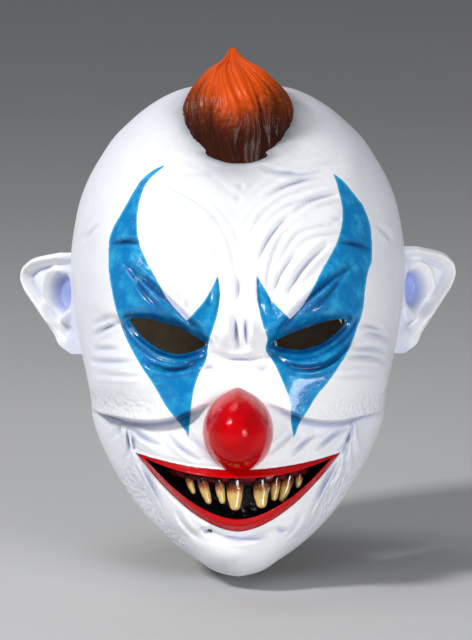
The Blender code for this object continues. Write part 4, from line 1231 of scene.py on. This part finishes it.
def tuft_finish():
    """Airbrushed hair, bright orange towards the tip and brown below to near black round the foot,
    with painted light over it: brighter on the lit front, brown behind and near black in the
    grooves between locks as painted shade, and light streaks along the locks as painted highlights."""
    hair = Finish(
        "hair_orange", Coat_Weight=0.06, Coat_Roughness=0.12, Coat_IOR=1.3, Specular_IOR_Level=0.10)
    height = hair.mark("height")
    groove = hair.mark("groove")
    streak = hair.noise(2.5 * MM, 3.0)
    # Painted light and shade: the lit front stays orange further down, the back turns brown sooner.
    low = hair.step(0.75, 0.15, height * 0.7 + (streak - 0.5) * 0.35 + hair.mark("lit"))
    foot = hair.step(0.30, -0.20, height * 0.8 + (streak - 0.5) * 0.2 + hair.mark("lit") * 0.3)
    colour = hair.mix(HAIR_BRIGHT, HAIR_BROWN, low)
    # Painted shade: near black in the grooves between locks.
    colour = hair.mix(colour, HAIR_DARK, (groove ** 2.0 * (0.35 + low * 0.75)).least(1.0))
    colour = hair.mix(colour, HAIR_DARK, foot * 0.85)
    # Painted highlights: light streaks on the ridges of the locks.
    tan = hair.step(0.60, 0.75, streak) * hair.step(0.45, 0.1, groove) * low * (1 - foot) * 0.3
    colour = hair.mix(colour, HAIR_HIGHLIGHT, tan)
    hair.set(Base_Color=colour)
    hair.set(Roughness=0.34 + (streak - 0.5) * 0.25)
    hair.set(Normal=hair.bump(hair.noise(1.2 * MM, 2.0), 0.35 * MM, 0.6))
    return hair.material


tuft_grid, tuft_heights, tuft_groove = tuft_points()
tuft_flat, tuft_faces = capped(tuft_grid)
# Painted light: the middle of the tuft's front is painted brighter, as if lit by the key light.
tuft_middle = (tuft_grid[..., 0] - LIT_PLACE) / (LIT_HALF * TUFT_WIDTH)
tuft_lit = LIT_SHARE * np.exp(-tuft_middle ** 2) * (tuft_grid[..., 1] < TUFT_SETBACK - FACE_DEPTH)
make_piece("tuft_locks", tuft_flat, tuft_faces, tuft_finish(), ["hair_tuft"], {
    "height": np.append(tuft_heights.reshape(-1), -1.0),
    "groove": np.append(tuft_groove.reshape(-1), 0.0),
    "lit": np.append(tuft_lit.reshape(-1), 0.0),
})

# The mouth pocket
# A dish of glossy black latex cast behind the lips, so that nothing shows through the grin.
MOUTH_HALF = 0.051
POCKET_MARGIN = 0.0045
POCKET_CORNER = 0.8
POCKET_DEPTH = 0.013
POCKET_WALL = 0.0022
POCKET_BLACK = (0.002, 0.002, 0.003)
POCKET_TEAL = (0.003, 0.012, 0.014)
CAD_MOUTH_TOP = (-0.0786, 0.011, 2.2)
CAD_MOUTH_BOTTOM = (-0.1012, 0.0336, 1.8)

# The dish's rings, as shares of the mouth's outline and of the dish's depth: its hollow from the
# middle out and forward, and its outside from the skin back to the middle.
POCKET_INNER = np.array([
    (0.02, 1.0), (0.12, 1.0), (0.25, 1.0), (0.45, 1.0), (0.62, 1.0), (0.76, 0.98),
    (0.86, 0.94), (0.93, 0.88), (0.98, 0.78), (1.0, 0.66), (1.0, -0.10),
])
POCKET_OUTER = np.array([
    (1.0, -0.10), (1.0, 0.50), (0.97, 0.75), (0.92, 0.90), (0.75, 0.98), (0.50, 1.0),
    (0.02, 1.0),
])


def skin_depth(x, z, behind=WALL):
    """Depth behind the moulded skin at a place on the face: the plain depth, less the lowest
    moulding near by, plus the wall, both measured straight back through the slope."""
    y = front_depth(x, z)
    slope_x = (front_depth(x + MM, z) - y) / MM
    slope_z = (front_depth(x, z + MM) - y) / MM
    u, v = seen(np.stack([x, y, z], axis=-1))
    height = np.minimum(fold_moulding(u, v - 3.0)[0], fold_moulding(u, v + 3.0)[0])
    height = np.minimum(height + broad_moulding(u, v), 0.5)
    return y + (behind - height * MM) * np.sqrt(1 + slope_x ** 2 + slope_z ** 2)


def pocket_rings(margin, shares):
    """Rings about the mouth opening, moved out by a margin and drawn in by each share."""
    share = -np.cos(np.linspace(0.0, math.pi, 81))
    across = share * MOUTH_HALF
    grown = share * (MOUTH_HALF + margin)
    above = margin * np.sqrt(1 - POCKET_CORNER * share ** 2)
    over = np.column_stack([grown, lip_line(across, MOUTH_HALF, CAD_MOUTH_TOP) + above])
    under = np.column_stack([grown, lip_line(across, MOUTH_HALF, CAD_MOUTH_BOTTOM) - above])
    outline = np.concatenate([over, under[::-1]])
    middle = np.array([0.0, -0.0865])
    return middle + (outline - middle) * np.asarray(shares)[:, None, None]


def pocket_points():
    """The dish: from the middle of its back out and forward to the skin, then back round its
    outside."""
    rings = np.concatenate([
        pocket_rings(POCKET_MARGIN, POCKET_INNER[:, 0]),
        pocket_rings(POCKET_MARGIN + POCKET_WALL, POCKET_OUTER[:, 0]),
    ])
    behind = np.concatenate([
        POCKET_INNER[:, 1] * POCKET_DEPTH, POCKET_OUTER[:, 1] * (POCKET_DEPTH + POCKET_WALL),
    ])
    x, z = rings[..., 0], rings[..., 1]
    return np.stack([x, skin_depth(x, z) + behind[:, None], z], axis=-1)


def pocket_finish():
    """Glossy black with a teal cast and the runs of thick paint."""
    black = Finish("mouth_black", Coat_Weight=0.3, Specular_IOR_Level=0.2)
    cloud = black.noise(9.0 * MM, 4.0)
    black.set(Base_Color=black.mix(POCKET_BLACK, POCKET_TEAL, black.step(0.5, 0.8, cloud)))
    black.set(Roughness=0.20 + (cloud - 0.5) * 0.2)
    black.set(Normal=black.bump(black.noise(4.0 * MM, 3.0), 1.8 * MM, 0.8))
    return black.material


pocket_grid = pocket_points()
pocket_flat, pocket_faces = capped(pocket_grid)
pocket_faces = [f[::-1] for f in pocket_faces]
make_piece("mouth_dish", pocket_flat, pocket_faces, pocket_finish(),
           ["mouth_pocket"])

# The upper gum
# A dark red bar under the upper lip that the teeth are set in, painted glossy.
GAP = 0.0003
GUM_HEIGHT = 0.0050
GUM_THICK = 0.0050
GUM_SETBACK = 0.0012
GUM_REACH = 0.0375
GUM_RED = (0.16, 0.003, 0.006)
GUM_DEEP = (0.035, 0.0, 0.003)


def gum_place(x):
    """Top and middle depth of the gum at a place along it: under the pocket's ceiling and
    behind the skin there."""
    half = MOUTH_HALF
    share = np.abs(x) / (half + POCKET_MARGIN)
    above = POCKET_MARGIN * np.sqrt(1 - POCKET_CORNER * share ** 2)
    top = lip_line(share * half, half, CAD_MOUTH_TOP) + above - GAP
    near = np.maximum(skin_depth(x, top), skin_depth(x, top - GUM_HEIGHT))
    return top, near + GUM_SETBACK + GUM_THICK / 2


def gum_points(stations=121, around=28):
    """The bar: a rounded section carried along the upper lip, drawn in to its two ends."""
    x = np.linspace(-GUM_REACH, GUM_REACH, stations)[:, None]
    top, middle = gum_place(x)
    turn = np.linspace(0.0, 2 * math.pi, around, endpoint=False)
    back = np.sign(np.cos(turn)) * np.abs(np.cos(turn)) ** 0.6
    down = 0.5 + 0.5 * np.sign(np.sin(turn)) * np.abs(np.sin(turn)) ** 0.6
    end = np.clip((1 - np.abs(x) / GUM_REACH) * 12, 0.02, 1.0) ** 0.5
    scallop = 0.0010 * np.abs(np.sin(x / 0.0042)) * (down > 0.55)
    y = middle + back * GUM_THICK / 2 * end
    z = top - (0.5 + (down - 0.5) * end) * GUM_HEIGHT + scallop
    return np.stack([x + 0 * turn, y, z], axis=-1)


def closed_tube(points):
    """Vertices and faces of a tube of rings whose two ends are closed by fans."""
    rows, columns = points.shape[:2]
    ends = np.stack([points[0].mean(axis=0), points[-1].mean(axis=0)])
    flat = np.concatenate([points.reshape(-1, 3), ends])
    first = [[rows * columns, c, (c + 1) % columns] for c in range(columns)]
    base = (rows - 1) * columns
    last = [[rows * columns + 1, base + (c + 1) % columns, base + c] for c in range(columns)]
    return flat, [list(f) for f in grid_faces(rows, columns)] + first + last


def gum_finish():
    """Dark red gloss over a knobbly cast surface."""
    gum = Finish("gum_red", Coat_Weight=0.5, Coat_IOR=1.3, Specular_IOR_Level=0.10)
    cloud = gum.noise(5.0 * MM, 3.0)
    gum.set(Base_Color=gum.mix(GUM_RED, GUM_DEEP, gum.step(0.35, 0.7, cloud)))
    gum.set(Roughness=0.22 + (cloud - 0.5) * 0.2)
    gum.set(Normal=gum.bump(gum.noise(2.5 * MM, 3.0), 1.0 * MM, 0.8))
    return gum.material


gum_flat, gum_faces = closed_tube(gum_points())
make_piece("gum_bar", gum_flat, gum_faces, gum_finish(), ["upper_gum"])

# The teeth
# Eight crooked latex pegs set in the gum, cream at the tip and stained orange and dark brown
# towards the root, under a thick gloss.
TOOTH_LENGTH = 0.0155
TOOTH_WIDTH = 0.0086
TOOTH_THICK = 0.0058
TOOTH_CURL = 0.0022
TOOTH_RAISE = 0.0024
TOOTH_FORWARD = 0.0007
TOOTH_CREAM = (0.62, 0.43, 0.15)
TOOTH_STAIN = (0.30, 0.065, 0.006)
TOOTH_DARK = (0.020, 0.002, 0.001)

# Share of the way down a tooth, and there the share of its full width, and of its full curl.
TOOTH_TAPER = np.array([
    (-0.10, 0.84), (0.0, 0.96), (0.25, 1.04), (0.62, 0.90), (0.90, 0.62), (0.97, 0.42),
    (1.0, 0.04),
])
TOOTH_BEND = np.array([(-0.10, 0.0), (0.25, 0.10), (0.62, 0.45), (1.0, 1.0)])

# From the viewer's left: place of the root as a share of half the mouth's width, width and
# length as shares of the largest tooth, and lean of the tip in degrees.
TEETH = (
    (-0.530, 0.45, 0.66, 20.0),
    (-0.389, 0.62, 0.95, 18.0),
    (-0.206, 0.58, 0.86, 10.0),
    (-0.033, 1.00, 1.06, 0.0),
    (0.231, 0.95, 1.00, 3.0),
    (0.400, 0.58, 0.80, -6.0),
    (0.535, 0.70, 0.94, -17.0),
    (0.647, 0.48, 0.50, -8.0),
)


def tooth_points(place, width, length, lean, rows=40, around=40):
    """A peg: an oval section that swells below the root and tapers to a blunt tip, curled
    forward and leaning to one side.  Also each ring's share of the way down."""
    down = np.linspace(TOOTH_TAPER[0, 0], 1.0, rows)[:, None]
    turn = np.linspace(0.0, 2 * math.pi, around, endpoint=False)
    taper = np.interp(down, *TOOTH_TAPER.T)
    forward = np.interp(down, *TOOTH_BEND.T)
    ribs = 1 + 0.03 * np.sin(3 * turn + 9 * down)
    x = taper * ribs * width / 2 * np.cos(turn)
    y = taper * ribs * TOOTH_THICK / 2 * np.sin(turn) - forward * TOOTH_CURL
    z = -down * length + 0 * turn
    swing = math.radians(lean)
    root_x = place * MOUTH_HALF
    top, middle = gum_place(np.array([root_x]))
    turned_x = root_x + x * math.cos(swing) - z * math.sin(swing)
    root_z = top[0] - GUM_HEIGHT + TOOTH_RAISE
    turned_z = root_z + x * math.sin(swing) + z * math.cos(swing)
    deep = middle[0] - TOOTH_FORWARD
    return np.stack([turned_x, deep + y, turned_z], axis=-1), down + 0 * turn


def tooth_finish():
    """Stained enamel: a ramp from the dark root through orange to the cream tip, blurred by
    streaks that run down the tooth, under gloss."""
    tooth = Finish("tooth_cream", Coat_Weight=0.6, Coat_IOR=1.35, Coat_Roughness=0.08)
    streak = tooth.noise(1.6 * MM, 3.0)
    down = tooth.mark("down") + (streak - 0.5) * 0.35
    colour = tooth.node("ValToRGB", {"stops": (
        (0.12, TOOTH_DARK), (0.30, TOOTH_STAIN), (0.52, TOOTH_CREAM), (1.0, TOOTH_CREAM),
    )}, {"Fac": down}, "Color")
    tooth.set(Base_Color=colour)
    tooth.set(Roughness=0.22 + (streak - 0.5) * 0.2)
    tooth.set(Normal=tooth.bump(tooth.noise(1.5 * MM, 2.0), 0.4 * MM, 0.5))
    return tooth.material


TOOTH_FINISH = tooth_finish()
for number, (place, wide, long, lean) in enumerate(TEETH, start=1):
    grid, down = tooth_points(place, wide * TOOTH_WIDTH, long * TOOTH_LENGTH, lean)
    flat, faces = closed_tube(grid)
    values = np.append(down.reshape(-1), [0.0, 1.0])
    make_piece("tooth_%d_peg" % number, flat, faces, TOOTH_FINISH,
               ["tooth_%d" % number], {"down": values})

# The studio
# A wide pale floor under the mask, a soft key light from the upper left in front, a fill from
# the right, and a camera square to the tipped face.
FLOOR_HALF = 30.0
FLOOR_GREY = (0.55, 0.55, 0.55)
FLOOR_CLEAR = 0.002
LENS = 306.8


def studio_point(x, y, z):
    """A point given beside the upright face, in the tipped frame."""
    return tuple(float(v) for v in tipped(np.array([x, y, z])))


def make_floor():
    """A flat square, just under the mask's lowest point."""
    level = cad_box[0][2] - FLOOR_CLEAR
    half = FLOOR_HALF
    corners = [(-half, -half, level), (half, -half, level), (half, half, level), (-half, half, level)]
    mesh = bpy.data.meshes.new("floor")
    mesh.from_pydata(corners, [], [[0, 1, 2, 3]])
    floor = bpy.data.objects.new("floor", mesh)
    bpy.context.scene.collection.objects.link(floor)
    paper = Finish("floor_paper", Roughness=0.8)
    cloud = paper.noise(0.4, 2.0)
    paper.set(Base_Color=paper.mix(FLOOR_GREY, (0.50, 0.50, 0.50), cloud))
    mesh.materials.append(paper.material)


def make_light(name, place, size, power, aim=(0.0, -0.05, -0.02)):
    """A square soft light at a place in front of the face, turned towards it."""
    data = bpy.data.lights.new(name, "AREA")
    data.size = size
    data.energy = power
    light = bpy.data.objects.new(name, data)
    bpy.context.scene.collection.objects.link(light)
    at = np.array(studio_point(*place))
    towards = np.array(studio_point(*aim)) - at
    light.location = at.tolist()
    light.rotation_euler = Vector(towards.tolist()).to_track_quat("-Z", "Y").to_euler()


make_floor()
make_light("key", (-1.35, -1.05, 1.1), 0.32, 34.0)
make_light("fill", (1.0, -1.7, -0.1), 0.6, 24.0)
make_light("top", (-0.4, 0.2, 1.6), 0.7, 5.0)

world = bpy.data.worlds.new("studio_air")
world.use_nodes = True
world.node_tree.nodes["Background"].inputs["Color"].default_value = (0.90, 0.93, 1.0, 1.0)
world.node_tree.nodes["Background"].inputs["Strength"].default_value = 0.20
bpy.context.scene.world = world
bpy.context.scene.view_settings.view_transform = "Standard"

camera_data = bpy.data.cameras.new("camera")
camera_data.lens = LENS
camera_data.sensor_width = 36.0
camera_data.clip_end = 100.0
camera = bpy.data.objects.new("camera", camera_data)
bpy.context.scene.collection.objects.link(camera)
camera.location = studio_point(VIEW_ACROSS, -VIEW_DISTANCE, VIEW_ABOVE)
camera.rotation_euler = (math.pi / 2 - FACE_TILT, 0.0, 0.0)
bpy.context.scene.camera = camera
